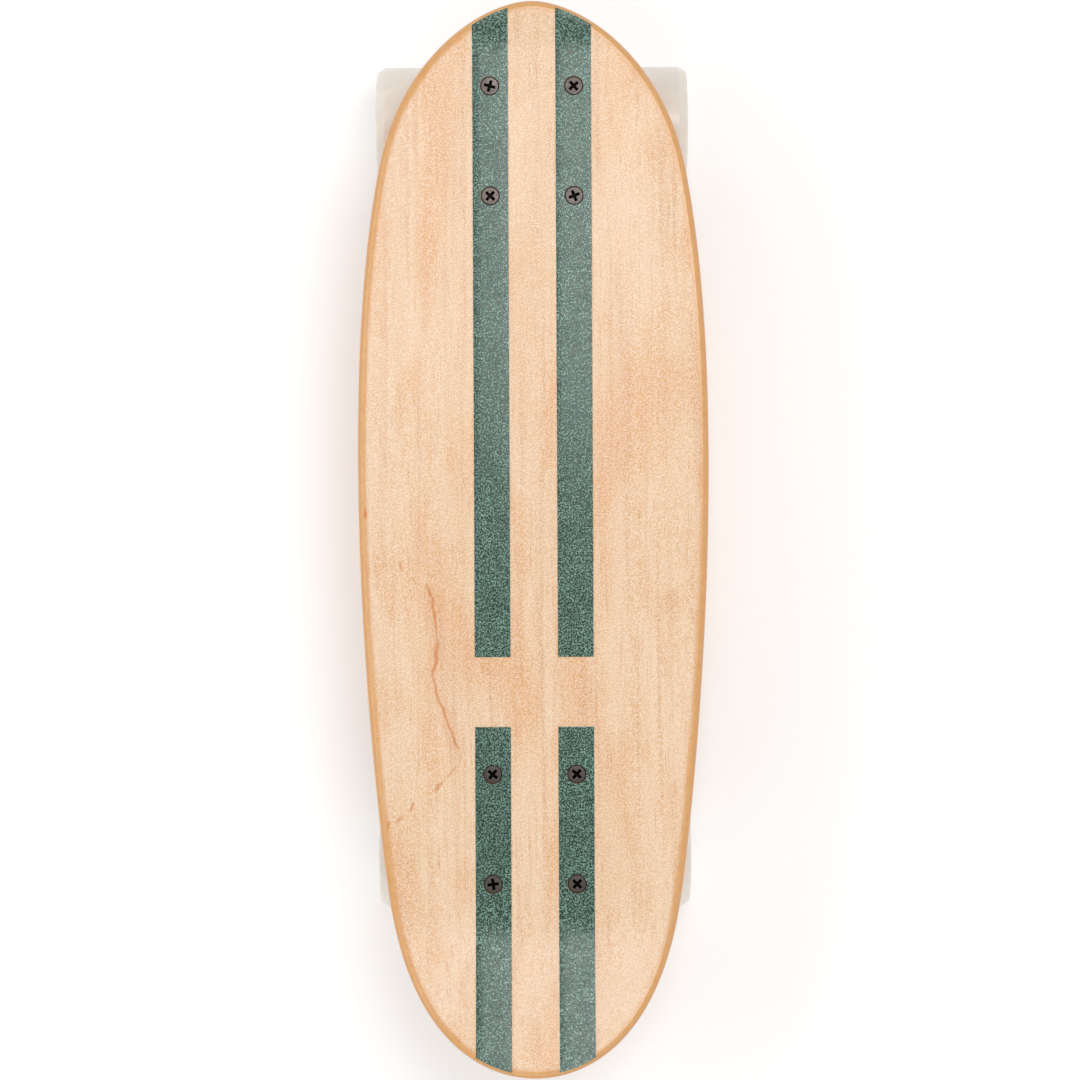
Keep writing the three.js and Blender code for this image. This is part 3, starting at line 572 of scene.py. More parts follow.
def threaded(name, radius, low, high, pitch, depth, material):
    """A screw thread between two heights along Z."""
    made = linked(name, bpy.data.meshes.new(name))
    thread_tree().apply(
        made, Radius=radius, Pitch=pitch, Length=high - low, Depth=depth, Material=material,
    )
    made.data.transform(Matrix.Translation((0, 0, low)))
    return made


# ------------------------------------------------------------------ finishes

class Finish:
    """A procedural material: its main shader, and short ways to build what feeds it."""

    def __init__(self, name, sockets):
        self.material = bpy.data.materials.new(name)
        self.material.use_nodes = True
        self.tree = self.material.node_tree
        self.shader = self.tree.nodes["Principled BSDF"]
        for label, value in sockets.items():
            self.shader.inputs[label].default_value = value
        self.object = self.add("ShaderNodeTexCoord")["Object"]

    def add(self, kind, inputs=None, **options):
        return add_node(self.tree, kind, inputs or {}, options)

    def feed(self, label, source):
        self.tree.links.new(source, self.shader.inputs[label])
        return self

    def mapped(self, scale, shift=(0, 0, 0)):
        inputs = {"Vector": self.object, "Scale": scale, "Location": shift}
        return self.add("ShaderNodeMapping", inputs)["Vector"]

    def noise(self, scale, detail=2.0, distortion=0.0, shift=(0, 0, 0), vector=None):
        """Noise at a scale, or at the same scale in every direction if it is one number."""
        scale = (scale,) * 3 if isinstance(scale, (int, float)) else scale
        inputs = {
            "Vector": vector or self.mapped(scale, shift),
            "Scale": 1.0,
            "Detail": detail,
            "Roughness": 0.5,
            "Distortion": distortion,
        }
        return self.add("ShaderNodeTexNoise", inputs)["Fac"]

    def math(self, operation, a, b=None):
        inputs = {0: a} if b is None else {0: a, 1: b}
        return self.add("ShaderNodeMath", inputs, operation=operation)["Value"]

    def times(self, *factors):
        """The factors multiplied together."""
        product = factors[0]
        for factor in factors[1:]:
            product = self.math("MULTIPLY", product, factor)
        return product

    def fade(self, value, low, high, to_low=0.0, to_high=1.0):
        """A smooth step from to_low to to_high as the value goes from low to high."""
        inputs = {
            "Value": value, "From Min": low, "From Max": high, "To Min": to_low, "To Max": to_high,
        }
        return self.add("ShaderNodeMapRange", inputs, interpolation_type="SMOOTHSTEP")["Result"]

    def mix(self, share, a, b):
        """Two colours mixed by a share from 0 to 1."""
        a, b = ((*tone, 1) if isinstance(tone, tuple) else tone for tone in (a, b))
        return self.add("ShaderNodeMix", {0: share, 6: a, 7: b}, data_type="RGBA")[2]

    def attribute(self, name):
        return self.add("ShaderNodeAttribute", attribute_name=name)["Fac"]

    def bump(self, height, distance):
        inputs = {"Height": height, "Distance": distance, "Strength": 1.0}
        return self.add("ShaderNodeBump", inputs)["Normal"]


def colour(value):
    """A colour property as a plain tuple."""
    return tuple(value)


def coat_bumps(finish, fineness, low, high):
    """The leathery bumps of the board's clear coat, as a height from 0 to 1."""
    worms = finish.noise((fineness, fineness * 0.92, fineness), 0.4, 0.7)
    return finish.fade(worms, low, high)


ANY_DEPTH = 1e6  # a spot's size downwards, in metres, so that it reaches through the board


def spot(finish, x, y, long, wide, turn):
    """A soft stretched spot on the top face: 1 at its middle, 0 beyond its edge."""
    wobble = finish.noise((260, 260, 0), 2.0)
    place = finish.add("ShaderNodeMapping", {
        "Vector": finish.object,
        "Location": (x * MM, y * MM, 0),
        "Rotation": (0, 0, math.radians(turn)),
        "Scale": (wide * MM, long * MM, ANY_DEPTH),
    }, vector_type="TEXTURE")["Vector"]
    distance = finish.add("ShaderNodeVectorMath", {0: place}, operation="LENGTH")["Value"]
    return finish.fade(finish.math("ADD", distance, wobble), 1.5, 0.7)


def maple():
    """Pale maple: straight fine grain, light bands, figured patches, mineral streaks and ply edges."""
    deck = settings().deck
    finish = Finish("Maple", {
        "Roughness": 0.5, "Specular IOR Level": 0.15,
        "Coat Weight": 1.0, "Coat Roughness": 0.16, "Coat IOR": 1.45,
    })
    place = finish.add("ShaderNodeSeparateXYZ", {0: finish.object})
    wander = finish.noise((9, 3, 9), 2.0)
    drift = finish.add("ShaderNodeCombineXYZ", {"X": finish.math("MULTIPLY", wander, 5.0)})["Vector"]

    def along_grain(scale, detail, shift=(0, 0, 0)):
        vector = finish.add(
            "ShaderNodeVectorMath", {0: finish.mapped(scale, shift), 1: drift}, operation="ADD",
        )["Vector"]
        return finish.noise(None, detail, 0.15, vector=vector)

    bands = finish.fade(along_grain((26, 1.6, 26), 3.0), 0.3, 0.7)
    lines = finish.fade(along_grain((300, 7, 300), 4.0), 0.45, 0.78)
    pores = finish.fade(finish.noise((1700, 42, 1700), 2.0), 0.61, 0.70)
    clouds = finish.fade(along_grain((30, 9, 30), 3.0, (3, 5, 1)), 0.44, 0.72)
    golden = finish.fade(along_grain((95, 22, 95), 3.0, (7, 2, 4)), 0.46, 0.76)
    tone = finish.mix(bands, colour(deck.wood), colour(deck.wood_light))
    for share, amount, other in (
        (clouds, 0.75, deck.wood_golden), (golden, 0.65, deck.wood_golden),
        (lines, 0.5, deck.wood_dark), (pores, 0.6, deck.wood_dark),
    ):
        tone = finish.mix(finish.times(share, amount), tone, colour(other))

    figure = finish.fade(finish.noise((75, 48, 75), 3.0, 1.2), 0.47, 0.7)
    figured = spot(finish, 66, -30, 62, 30, 8)
    tone = finish.mix(finish.times(figure, figured, 0.34), tone, colour(deck.wood_dark))

    # The long mineral streak wanders across the grain on the left of the board.
    share = finish.add(
        "ShaderNodeMapRange", {"Value": place["Y"], "From Min": -106 * MM, "From Max": -22 * MM},
    )["Result"]
    course = finish.add("ShaderNodeFloatCurve", {"Value": share})
    curve = course[0].node.mapping.curves[0]
    for at, out in ((0, 0.8), (0.22, 0.46), (0.43, 0.2), (0.66, 0.26), (0.84, 0.18), (1, 0.02)):
        point = curve.points.new(at, out) if 0 < at < 1 else curve.points[0 if at == 0 else -1]
        point.location = (at, out)
    course[0].node.mapping.update()
    shake = finish.times(finish.noise((0, 110, 0), 2.0), 5 * MM)
    course_x = finish.math("ADD", finish.times(course[0], 20 * MM), -55.5 * MM)
    off = finish.math("SUBTRACT", finish.math("ADD", course_x, shake), place["X"])
    width = finish.fade(finish.noise((0, 60, 0), 2.0, shift=(0, 3, 0)), 0.35, 0.7, 0.4 * MM, 1.3 * MM)
    line = finish.fade(finish.math("DIVIDE", finish.math("ABSOLUTE", off), width), 1.8, 0.3)
    ends = finish.times(finish.fade(share, -0.02, 0.06), finish.fade(share, 1.02, 0.94))
    streak = finish.times(line, ends)
    haze = finish.times(finish.fade(finish.math("ABSOLUTE", off), 9 * MM, 0), ends, 0.22)
    for x, y, long, wide, turn, strength in (
        (-65.4, -14.0, 3.6, 1.1, 15, 0.9),
        (-58.8, -20.9, 11.5, 0.6, 47, 0.35),
        (-51.2, -21.9, 6.0, 0.6, -10, 0.5),
        (-36.6, -108.2, 5.2, 0.9, -10, 0.6),
        (-40.5, -114.8, 6.4, 1.0, -41, 0.7),
        (-47.0, -121.8, 5.0, 1.7, -45, 0.95),
        (-60.3, -132.0, 4.2, 1.4, -20, 0.95),
        (-66.0, -137.7, 4.2, 1.5, -50, 1.0),
        (-72.0, -140.8, 3.4, 1.1, -10, 0.85),
        (-82.6, 12.2, 3.8, 1.2, 0, 0.95),
        (-1.6, -11.5, 5.0, 0.6, 0, 0.6),
    ):
        mark = finish.times(spot(finish, x, y, long, wide, turn), strength)
        streak = finish.math("MAXIMUM", streak, mark)
    worn = finish.fade(finish.noise((500, 90, 500), 2.0), 0.2, 0.55, 0.35, 0.8)
    streak = finish.math("MAXIMUM", finish.times(streak, worn), haze)

    # On the rounded edge the lacquered plies show, one after the other, with their glue lines.
    depth = finish.attribute("depth")
    sanded = finish.noise((260, 60, 260), 2.0)
    reach = finish.math("ADD", finish.attribute("inside"), finish.times(sanded, 0.8 * MM))
    rim_zone = finish.fade(reach, deck.edge_rounding + 2 * MM, deck.edge_rounding - 1 * MM)
    wall = finish.times(
        finish.fade(depth, 0.3 * MM, 0.6 * MM),
        finish.fade(depth, DECK_THICKNESS - 0.3 * MM, DECK_THICKNESS - 0.6 * MM),
    )
    edge = finish.math("MAXIMUM", rim_zone, wall)
    layer = finish.times(depth, deck.plies / DECK_THICKNESS)
    crossed = finish.math("MODULO", finish.math("FLOOR", layer), 2.0)
    from_middle = finish.math("SUBTRACT", finish.math("FRACT", layer), 0.5)
    glue = finish.fade(finish.math("ABSOLUTE", from_middle), 0.44, 0.5)
    end_grain = finish.fade(finish.noise((260, 260, 2600), 3.0), 0.35, 0.7, 0, 0.45)
    rim = finish.mix(finish.times(crossed, 0.42), colour(deck.edge), colour(deck.streak))
    rim = finish.mix(end_grain, rim, colour(deck.wood_dark))
    rim = finish.mix(finish.times(glue, 0.4), rim, colour(deck.streak))
    tone = finish.mix(finish.times(edge, 0.92), tone, rim)
    streak = finish.times(streak, finish.fade(depth, 3 * MM, 1 * MM))
    tone = finish.mix(streak, tone, colour(deck.streak))

    # The clear coat's bumps get a pale painted highlight in the colour, over their real bump; the streak
    # shows through it.
    on_top = finish.fade(depth, 0.6 * MM, 0.1 * MM)
    coated = finish.times(on_top, finish.math("SUBTRACT", 1.0, edge))
    bumps = finish.times(coat_bumps(finish, 1750, 0.38, 0.64), coated)
    # Painted highlight: the share of pale colour laid on the bumps, smaller over the streak.
    clear = finish.math("SUBTRACT", 0.48, finish.times(streak, 0.48))
    tone = finish.mix(finish.times(bumps, clear), tone, screen(255, 240, 222))
    finish.feed("Base Color", tone)
    finish.feed("Normal", finish.bump(finish.math("SUBTRACT", 1.0, pores), 0.02 * MM))
    finish.feed("Coat Normal", finish.bump(bumps, 0.08 * MM))
    finish.feed("Roughness", finish.fade(lines, 0, 1, 0.46, 0.58))
    return finish.material


def strip_paint():
    """The strips' dark green, under the same clear textured coat as the wood, with a painted highlight on
    the coat's bumps.
    """
    grip = settings().grip
    finish = Finish("Green strip", {
        "Roughness": 0.5, "Specular IOR Level": 0.1,
        "Coat Weight": 1.0, "Coat Roughness": 0.16, "Coat IOR": 1.52,
    })
    bumps = coat_bumps(finish, 1500, 0.45, 0.61)
    # Painted highlight: the bumps are mixed towards a lighter green in the colour, over their real bump,
    # in an uneven share.
    painted_highlight_share = finish.fade(finish.noise((150, 110, 150), 3.0), 0.3, 0.7, 0.65, 0.95)
    tone = finish.mix(finish.times(bumps, painted_highlight_share), colour(grip.colour), colour(grip.painted_bump_highlight))
    bump = finish.bump(bumps, 0.12 * MM)
    finish.feed("Base Color", tone).feed("Normal", bump).feed("Coat Normal", bump)
    finish.feed("Roughness", finish.fade(bumps, 0, 1, 0.5, 0.38))
    return finish.material


def darker(tone, share):
    """A share of a colour's light."""
    return tuple(value * share for value in tone)


def metal(name, tone, roughness, grain, depth, other, painted_shade_within=None):
    """A metal with a fine grain and soft patches of another tone; painted shade, near black, between two
    heights.
    """
    finish = Finish(name, {"Metallic": 1.0})
    fine = finish.noise(grain, 3.0, 0.3)
    broad = finish.fade(finish.noise(70, 3.0, 0.8), 0.3, 0.7)
    shade = finish.mix(broad, tone, other)
    shade = finish.mix(finish.fade(fine, 0.45, 0.75, 0, 0.3), shade, darker(tone, 0.6))
    if painted_shade_within:
        height = finish.add("ShaderNodeSeparateXYZ", {0: finish.object})["Z"]
        top, bottom = painted_shade_within
        below = finish.fade(height, top + 0.3 * MM, top)
        above = finish.math("GREATER_THAN", height, bottom)
        # Painted shade: between the two heights the metal is made near black, so the gap round a bolt's
        # head in the deck reads dark.
        shade = finish.mix(finish.times(below, above), shade, screen(14, 13, 12))
    finish.feed("Base Color", shade)
    wear = finish.math("ADD", fine, finish.times(broad, 0.4))
    finish.feed("Roughness", finish.fade(wear, 0.4, 1.0, roughness * 0.75, roughness * 1.35))
    finish.feed("Normal", finish.bump(fine, depth * MM))
    return finish.material


def moulded(name, tone, roughness, soft, grain, depth, coat=0.0):
    """A moulded rubber or urethane, with faint flow clouds and a fine skin texture."""
    finish = Finish(name, {
        "Subsurface Weight": soft,
        "Subsurface Scale": 4 * MM,
        "Subsurface Radius": (1.0, 0.85, 0.7),
        "Coat Weight": coat,
        "Coat Roughness": 0.2,
    })
    cloud = finish.fade(finish.noise(45, 3.0, 1.0), 0.3, 0.7)
    fine = finish.noise(grain, 2.0)
    shade = finish.mix(cloud, tone, darker(tone, 0.93))
    shade = finish.mix(finish.fade(fine, 0.5, 0.8, 0, 0.25), shade, darker(tone, 0.86))
    finish.feed("Base Color", shade)
    finish.feed("Roughness", finish.fade(fine, 0.3, 0.75, roughness * 0.85, roughness * 1.15))
    finish.feed("Normal", finish.bump(fine, depth * MM))
    return finish.material


def finishes():
    """The named materials, made once and then shared."""
    group = settings()
    wheel, bushing = colour(group.wheels.urethane), colour(group.truck.urethane)
    alloy, steel = colour(group.truck.alloy), screen(206, 206, 208)
    return {
        "maple": maple(),
        "grip": strip_paint(),
        "wheel": moulded("Wheel urethane", wheel, 0.38, 0.35, 420, 0.012, 0.15),
        "bushing": moulded("Bushing urethane", bushing, 0.3, 0.4, 700, 0.006, 0.2),
        "riser": moulded("Black rubber", screen(34, 34, 36), 0.62, 0, 1100, 0.03),
        "cup": moulded("Pivot cup nylon", screen(24, 24, 26), 0.42, 0, 800, 0.008),
        "cast_alloy": metal("Cast alloy", alloy, 0.36, 1300, 0.035, darker(alloy, 0.84)),
        "plated_steel": metal(
            "Zinc plated steel", screen(196, 198, 202), 0.24, 1100, 0.003, screen(204, 200, 186),
        ),
        "bearing_steel": metal("Bearing steel", steel, 0.16, 1500, 0.001, darker(steel, 0.9)),
        "bolt_steel": metal(
            "Black oxide steel", colour(group.hardware.oxide), 0.34, 1400, 0.006,
            # The deck bolts get painted shade, near black, from just under the deck's top face down
            # through the deck.
            screen(92, 84, 80), (DECK_TOP - 0.55 * MM, DECK_BOTTOM),
        ),
    }


FINISHES = {}


def finish_of(slot):
    """The material of a slot, made the first time it is asked for."""
    if not FINISHES:
        FINISHES.update(finishes())
    return FINISHES[slot]


# ------------------------------------------------------------------ the deck's shape

# The outline's two ends, in millimetres and degrees from the widest line. Each is drawn by two
# curves that meet at a shoulder, set back from the tip and in from the widest line.
NOSE = {
    "length": 225.8, "back": 82.6, "inset": 10.7, "angle": 79.2, "handles": (22.4, 59.4, 49.7, 39.3),
}
TAIL = {
    "length": 301.8, "back": 84.7, "inset": 14.8, "angle": 81.1, "handles": (28.0, 65.0, 23.8, 98.7),
}
WIDEST_Y = NOSE_TIP - NOSE["length"] * MM
NOSE_KICK = {"length": 34 * MM, "angle": math.radians(8), "radius": 120 * MM}
TAIL_KICK = {"length": 88 * MM, "angle": math.radians(16), "radius": 150 * MM}
STRIP_BREAK_Y = TAIL_TIP + 170.7 * MM
STRIP_BREAK = 34.4 * MM


def bezier(a, b, c, d, count=400):
    """Points along a cubic curve."""
    path = []
    for i in range(count + 1):
        t = i / count
        u = 1 - t
        path.append(a * u**3 + b * 3 * t * u**2 + c * 3 * t * t * u + d * t**3)
    return path


def spaced(points, count):
    """Points evenly spaced along a path."""
    lengths = [0.0]
    for a, b in zip(points, points[1:]):
        lengths.append(lengths[-1] + (b - a).length)
    result = []
    place = 0
    for step in range(count + 1):
        target = lengths[-1] * step / count
        while place < len(points) - 2 and lengths[place + 1] < target:
            place += 1
        share = (target - lengths[place]) / (lengths[place + 1] - lengths[place])
        result.append(points[place].lerp(points[place + 1], share))
    return result


def end_outline(end, tip_steps, side_steps):
    """The right side of one end's outline, from its tip to the widest line."""
    tip, out, into, widest = end["handles"]
    half = HALF_WIDTH / MM
    angle = math.radians(end["angle"])
    shoulder = Vector((half - end["inset"], end["length"] - end["back"]))
    along = Vector((math.cos(angle), -math.sin(angle)))
    tip_curve = bezier(
        Vector((0, end["length"])), Vector((tip, end["length"])), shoulder - along * out, shoulder,
    )
    side_curve = bezier(shoulder, shoulder + along * into, Vector((half, widest)), Vector((half, 0)))
    return spaced(tip_curve, tip_steps) + spaced(side_curve, side_steps)[1:]


def right_outline(tip_steps, side_steps):
    """The right half of the deck's outline, from the nose tip to the tail tip."""
    nose, tail = (
        [Vector((p.x * MM, WIDEST_Y + way * p.y * MM)) for p in end_outline(end, tip_steps, side_steps)]
        for end, way in ((NOSE, 1), (TAIL, -1))
    )
    return nose + tail[::-1][1:]


def moved_in(outline, distance):
    """The outline moved in by a distance, square to itself."""
    result = []
    for i, point in enumerate(outline):
        if abs(point.x) < 1e-9:
            result.append(Vector((0, point.y - math.copysign(distance, point.y - WIDEST_Y))))
            continue
        run = (outline[min(i + 1, len(outline) - 1)] - outline[max(i - 1, 0)]).normalized()
        result.append(Vector((max(point.x + run.y * distance, 0), point.y - run.x * distance)))
    return result


def kick_rise(distance, kick):
    """How far a kick lifts the deck at a distance past the line where it starts."""
    if distance <= 0:
        return 0.0
    radius = kick["radius"]
    arc_run = radius * math.sin(kick["angle"])
    if distance < arc_run:
        return radius - math.sqrt(radius**2 - distance**2)
    return radius * (1 - math.cos(kick["angle"])) + (distance - arc_run) * math.tan(kick["angle"])


def deck_rise(x, y):
    """How far the deck's surface stands above its flat middle."""
    deck = settings().deck
    out = max(abs(x) - deck.flat_half, 0)
    concave = deck.concave_rise * (out / (HALF_WIDTH - deck.flat_half)) ** 2
    tail = kick_rise(TAIL_TIP + TAIL_KICK["length"] - y, TAIL_KICK)
    return concave + tail + kick_rise(y - NOSE_TIP + NOSE_KICK["length"], NOSE_KICK)


def edge_at(outline, x):
    """Where the outline, followed from a tip, first reaches a distance out from the middle."""
    i = next(i for i, point in enumerate(outline) if point.x >= x)
    a, b = outline[i - 1], outline[i]
    return a.y + (b.y - a.y) * (x - a.x) / (b.x - a.x)


# How far each bolt's recess is turned, in degrees.
RECESS_TURNS = {
    "front_outer_left": 73, "front_outer_right": 40, "front_inner_left": 47, "front_inner_right": 22,
    "rear_outer_left": 8, "rear_outer_right": 46, "rear_inner_left": 50, "rear_inner_right": 48,
}


def bolt_places():
    """Each deck bolt's name, place and turn of its recess."""
    return [
        (name, middle(f"bolt_{name}"), math.radians(turn)) for name, turn in RECESS_TURNS.items()
    ]


def hole_cutters(corners, end="", side=""):
    """Turned cutters at the deck bolts, or those of one row, from a profile at the top face."""
    return [
        turned("hole", corners, 48, Matrix.Translation((place.x, place.y, DECK_TOP)))
        for name, place, _ in bolt_places() if name.startswith(end) and name.endswith(side)
    ]


# ------------------------------------------------------------------ operators

class SKATEBOARD_OT_deck(bpy.types.Operator):
    """Build the pressed maple deck"""
    bl_idname = "skateboard.deck"
    bl_label = "Deck"

    def execute(self, context):
        deck = settings().deck
        hardware = settings().hardware
        outline = right_outline(44, 34)
        face = moved_in(outline, deck.edge_rounding)
        arcs = []
        steps = 7
        for step in range(1, steps + 1):
            angle = math.pi / 2 * step / steps
            ring = moved_in(outline, deck.edge_rounding * (1 - math.sin(angle)))
            arcs.append((deck.edge_rounding * (1 - math.cos(angle)), ring))
        columns = 25
        shares = [math.sin(math.pi / 2 * (2 * i / (columns - 1) - 1)) for i in range(columns)]
        bm = bmesh.new()

        def vert(x, y, drop):
            return bm.verts.new((x, y, DECK_TOP + deck_rise(x, y) - drop))

        loops = []
        for i, inner in enumerate(face):
            top = [vert(share * inner.x, inner.y, 0) for share in shares]
            under = [vert(-share * inner.x, inner.y, DECK_THICKNESS) for share in shares]
            (right, right_low), (left, left_low) = (
                (
                    [vert(side * ring[i].x, ring[i].y, drop) for drop, ring in arcs],
                    [vert(side * ring[i].x, ring[i].y, DECK_THICKNESS - drop) for drop, ring in arcs],
                ) for side in (1, -1)
            )
            loops.append(top + right + right_low[::-1] + under + left_low + left[::-1])
        skin(bm, loops)
        blank = object_from("maple_deck", bm)

        head = hardware.head_diameter / 2 + HEAD_CLEARANCE
        hole = hardware.shank_diameter / 2 + 0.3 * MM
        sunk = HEAD_SUNK + 0.7 * MM
        profile = [
            (0, WELL_PAST, 0), (head, WELL_PAST, 0), (head, -sunk, 0),
            (hole, -sunk - hardware.head_height, 0), (hole, -2 * WELL_PAST, 0), (0, -2 * WELL_PAST, 0),
        ]
        combine(blank, hole_cutters(profile), "DIFFERENCE", 30)
        self.measure(blank.data)
        blank.data.materials.append(finish_of("maple"))
        ready(blank, "deck", "maple", "deck")
        return {"FINISHED"}

    def measure(self, mesh):
        """Stores how deep each point lies below the top face, and how far inside the outline."""
        fine = right_outline(200, 200)
        tree = kdtree.KDTree(len(fine))
        for i, point in enumerate(fine):
            tree.insert((point.x, point.y, 0), i)
        tree.balance()
        depths, insides = [], []
        for vertex in mesh.vertices:
            x, y, z = vertex.co
            depths.append(DECK_TOP + deck_rise(x, y) - z)
            insides.append(tree.find((abs(x), y, 0))[2])
        for name, values in (("depth", depths), ("inside", insides)):
            mesh.attributes.new(name, "FLOAT", "POINT").data.foreach_set("value", values)


class SKATEBOARD_OT_strips(bpy.types.Operator):
    """Build the four thin strips over the rows of bolts"""
    bl_idname = "skateboard.strips"
    bl_label = "Strips"

    def execute(self, context):
        for end in ENDS:
            for side in SIDES:
                self.build(end, side)
        return {"FINISHED"}

    def build(self, end, side):
        grip = settings().grip
        front = end == "front"
        edge = moved_in(right_outline(160, 60), grip.nose_margin if front else grip.tail_margin)
        if not front:
            edge = edge[::-1]
        square_y = STRIP_BREAK_Y + (STRIP_BREAK if front else 0)
        columns = 9
        inner_x = STRIP_X - grip.width / 2
        rows = math.ceil(abs(edge_at(edge, inner_x) - square_y) / (2.2 * MM))
        bevel = 0.12 * MM
        bm = bmesh.new()
        loops = []
        for row in range(rows + 1):
            loop = []
            for column in range(columns):
                x = inner_x + grip.width * column / (columns - 1)
                y = square_y + (edge_at(edge, x) - square_y) * row / rows
                drop = bevel if column in (0, columns - 1) or row in (0, rows) else 0
                height = DECK_TOP + deck_rise(x, y) + grip.thickness - drop
                loop.append(bm.verts.new((SIDES[side] * x, y, height)))
            under = [bm.verts.new((v.co.x, v.co.y, v.co.z - grip.thickness + 0.02 * MM)) for v in loop]
            loops.append(loop + under[::-1])
        skin(bm, loops)
        for loop in (loops[0], loops[-1]):
            for j in range(columns - 1):
                bm.faces.new((loop[j], loop[j + 1], loop[-2 - j], loop[-1 - j]))
        strip = object_from(f"strip_{end}_{side}", bm)
        head = settings().hardware.head_diameter / 2 + HEAD_CLEARANCE
        reach = 4 * MM
        profile = [(0, -reach, 0), (head, -reach, 0), (head, reach, 0), (0, reach, 0)]
        combine(strip, hole_cutters(profile, end, side), "DIFFERENCE", 30)
        strip.data.materials.append(finish_of("grip"))
        ready(strip, "deck", "grip", f"grip_{end}_{side}")


def lock_nut(name, flats, height, bore):
    """A hexagon lock nut that hangs down from its seat at z = 0, with a round collar below."""
    corner = flats / 2 / math.cos(math.pi / 6)
    collar = height * 0.34
    end = -(height - collar)
    turns = [math.pi / 3 * i for i in range(6)]
    outline = [(corner * math.cos(turn), corner * math.sin(turn)) for turn in turns]
    hexagon = prism("hexagon", outline, end, 0)
    chamfer = corner - flats / 2 * 0.97
    rise = chamfer * 0.6
    wide = corner + 0.05 * MM
    limit = turned("limit", [
        (0, 0.01 * MM, 0), (corner - chamfer, 0.01 * MM, 0), (wide, -rise, 0),
        (wide, end + rise, 0), (corner - chamfer, end, 0), (0, end, 0),
    ], 96)
    combine(hexagon, [limit], "INTERSECT")
    inner = bore + collar * 0.7
    outer = flats / 2 * 0.93
    top = turned("collar", [
        (0, end + 0.3 * MM, 0), (outer, end + 0.3 * MM, 0),
        (outer, -height + collar * 0.25, collar * 0.4), (inner + 0.5 * MM, -height, collar * 0.2),
        (inner, -height + 0.3 * MM, 0), (0, -height + 0.3 * MM, 0),
    ], 72)
    combine(hexagon, [top], "UNION")
    sink = bore + 0.6 * MM
    countersink = turned("bore", [
        (0, MM, 0), (sink, MM, 0), (sink, 0, 0), (bore, -0.6 * MM, 0),
        (bore, -height - MM, 0), (0, -height - MM, 0),
    ], 48)
    combine(hexagon, [countersink], "DIFFERENCE", 32)
    hexagon.name = name
    return hexagon


def cross_recess(length, depth):
    """The cutter of a cross recess: two tapered arms and a small cone in the middle."""
    arm = length / 2
    half = 0.74 * MM
    wings = []
    for turn in (0, math.pi / 2):
        bm = bmesh.new()
        rings = [
            [bm.verts.new((x * arm * along, y * half * across, z)) for x, y in SQUARE]
            for z, along, across in ((-depth, 0.45, 0.7), (0, 1, 1), (MM, 1, 1))
        ]
        for lower, upper in zip(rings, rings[1:]):
            for i in range(4):
                j = (i + 1) % 4
                bm.faces.new((lower[i], lower[j], upper[j], upper[i]))
        bm.faces.new(rings[0][::-1])
        bm.faces.new(rings[-1])
        wings.append(object_from("arm", bm, Matrix.Rotation(turn, 4, "Z")))
    cone = turned("cone", [
        (0, -depth * 1.1, 0), (0.5 * MM, -depth * 0.85, 0), (1.25 * MM, 0, 0), (1.25 * MM, MM, 0),
        (0, MM, 0),
    ], 24)
    return combine(wings[0], [wings[1], cone], "UNION")


class SKATEBOARD_OT_bolts(bpy.types.Operator):
    """Build the eight deck bolts and their lock nuts"""
    bl_idname = "skateboard.bolts"
    bl_label = "Bolts and nuts"

    def execute(self, context):
        hardware = settings().hardware
        steel = finish_of("bolt_steel")
        places = bolt_places()
        low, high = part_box("bolt_front_outer_left")
        length = high[2] - low[2]
        head = hardware.head_diameter / 2
        core = hardware.shank_diameter / 2 - 0.3 * MM
        bolt = turned("bolt", [
            (0, -length, 0), (core - 0.4 * MM, -length, 0), (core, -length + 0.5 * MM, 0),
            (core, -hardware.head_height - 0.5 * MM, 0.5 * MM), (head, -0.5 * MM, 0.1 * MM),
            (head - 0.05 * MM, -0.28 * MM, 0.1 * MM), (head - 0.4 * MM, 0, 0.2 * MM), (0, 0, 0),
        ], 56)
        combine(bolt, [cross_recess(hardware.recess, 2.1 * MM)], "DIFFERENCE", 28)
        thread = threaded(
            "thread", core, -length + 0.6 * MM, -hardware.head_height - 4 * MM,
            hardware.pitch, 0.36 * MM, steel,
        )
        bolt = joined("bolt", [bolt, thread])
        tops = [(Vector((p.x, p.y, high[2])), turn) for _, p, turn in places]
        bolts = repeated("deck_bolts", bolt, tops, steel)
        bolts.data.set_sharp_from_angle(angle=math.radians(28))
        discard(bolt)
        ready(bolts, "deck", "bolt_steel", *(f"bolt_{name}" for name, _, _ in places))

        nut = lock_nut("nut", hardware.nut_flats, hardware.nut_height, core + 0.05 * MM)
        seats = [
            (Vector((p.x, p.y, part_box(f"bolt_nut_{name}")[1][2] + 0.2 * MM)), turn * 2.3)
            for name, p, turn in places
        ]
        nuts = repeated("deck_nuts", nut, seats, steel)
        nuts.data.set_sharp_from_angle(angle=math.radians(32))
        discard(nut)
        ready(nuts, "deck", "bolt_steel", *(f"bolt_nut_{name}" for name, _, _ in places))
        return {"FINISHED"}


def plate_holes(radius):
    """Cutters for the four bolt holes of a truck, in the truck's own frame."""
    return [
        bar(radius, -2 * WELL_PAST, WELL_PAST, 36, Matrix.Translation((x, y, 0)))
        for x in (-BOLT_X, BOLT_X) for y in (-BOLT_Y, BOLT_Y)
    ]


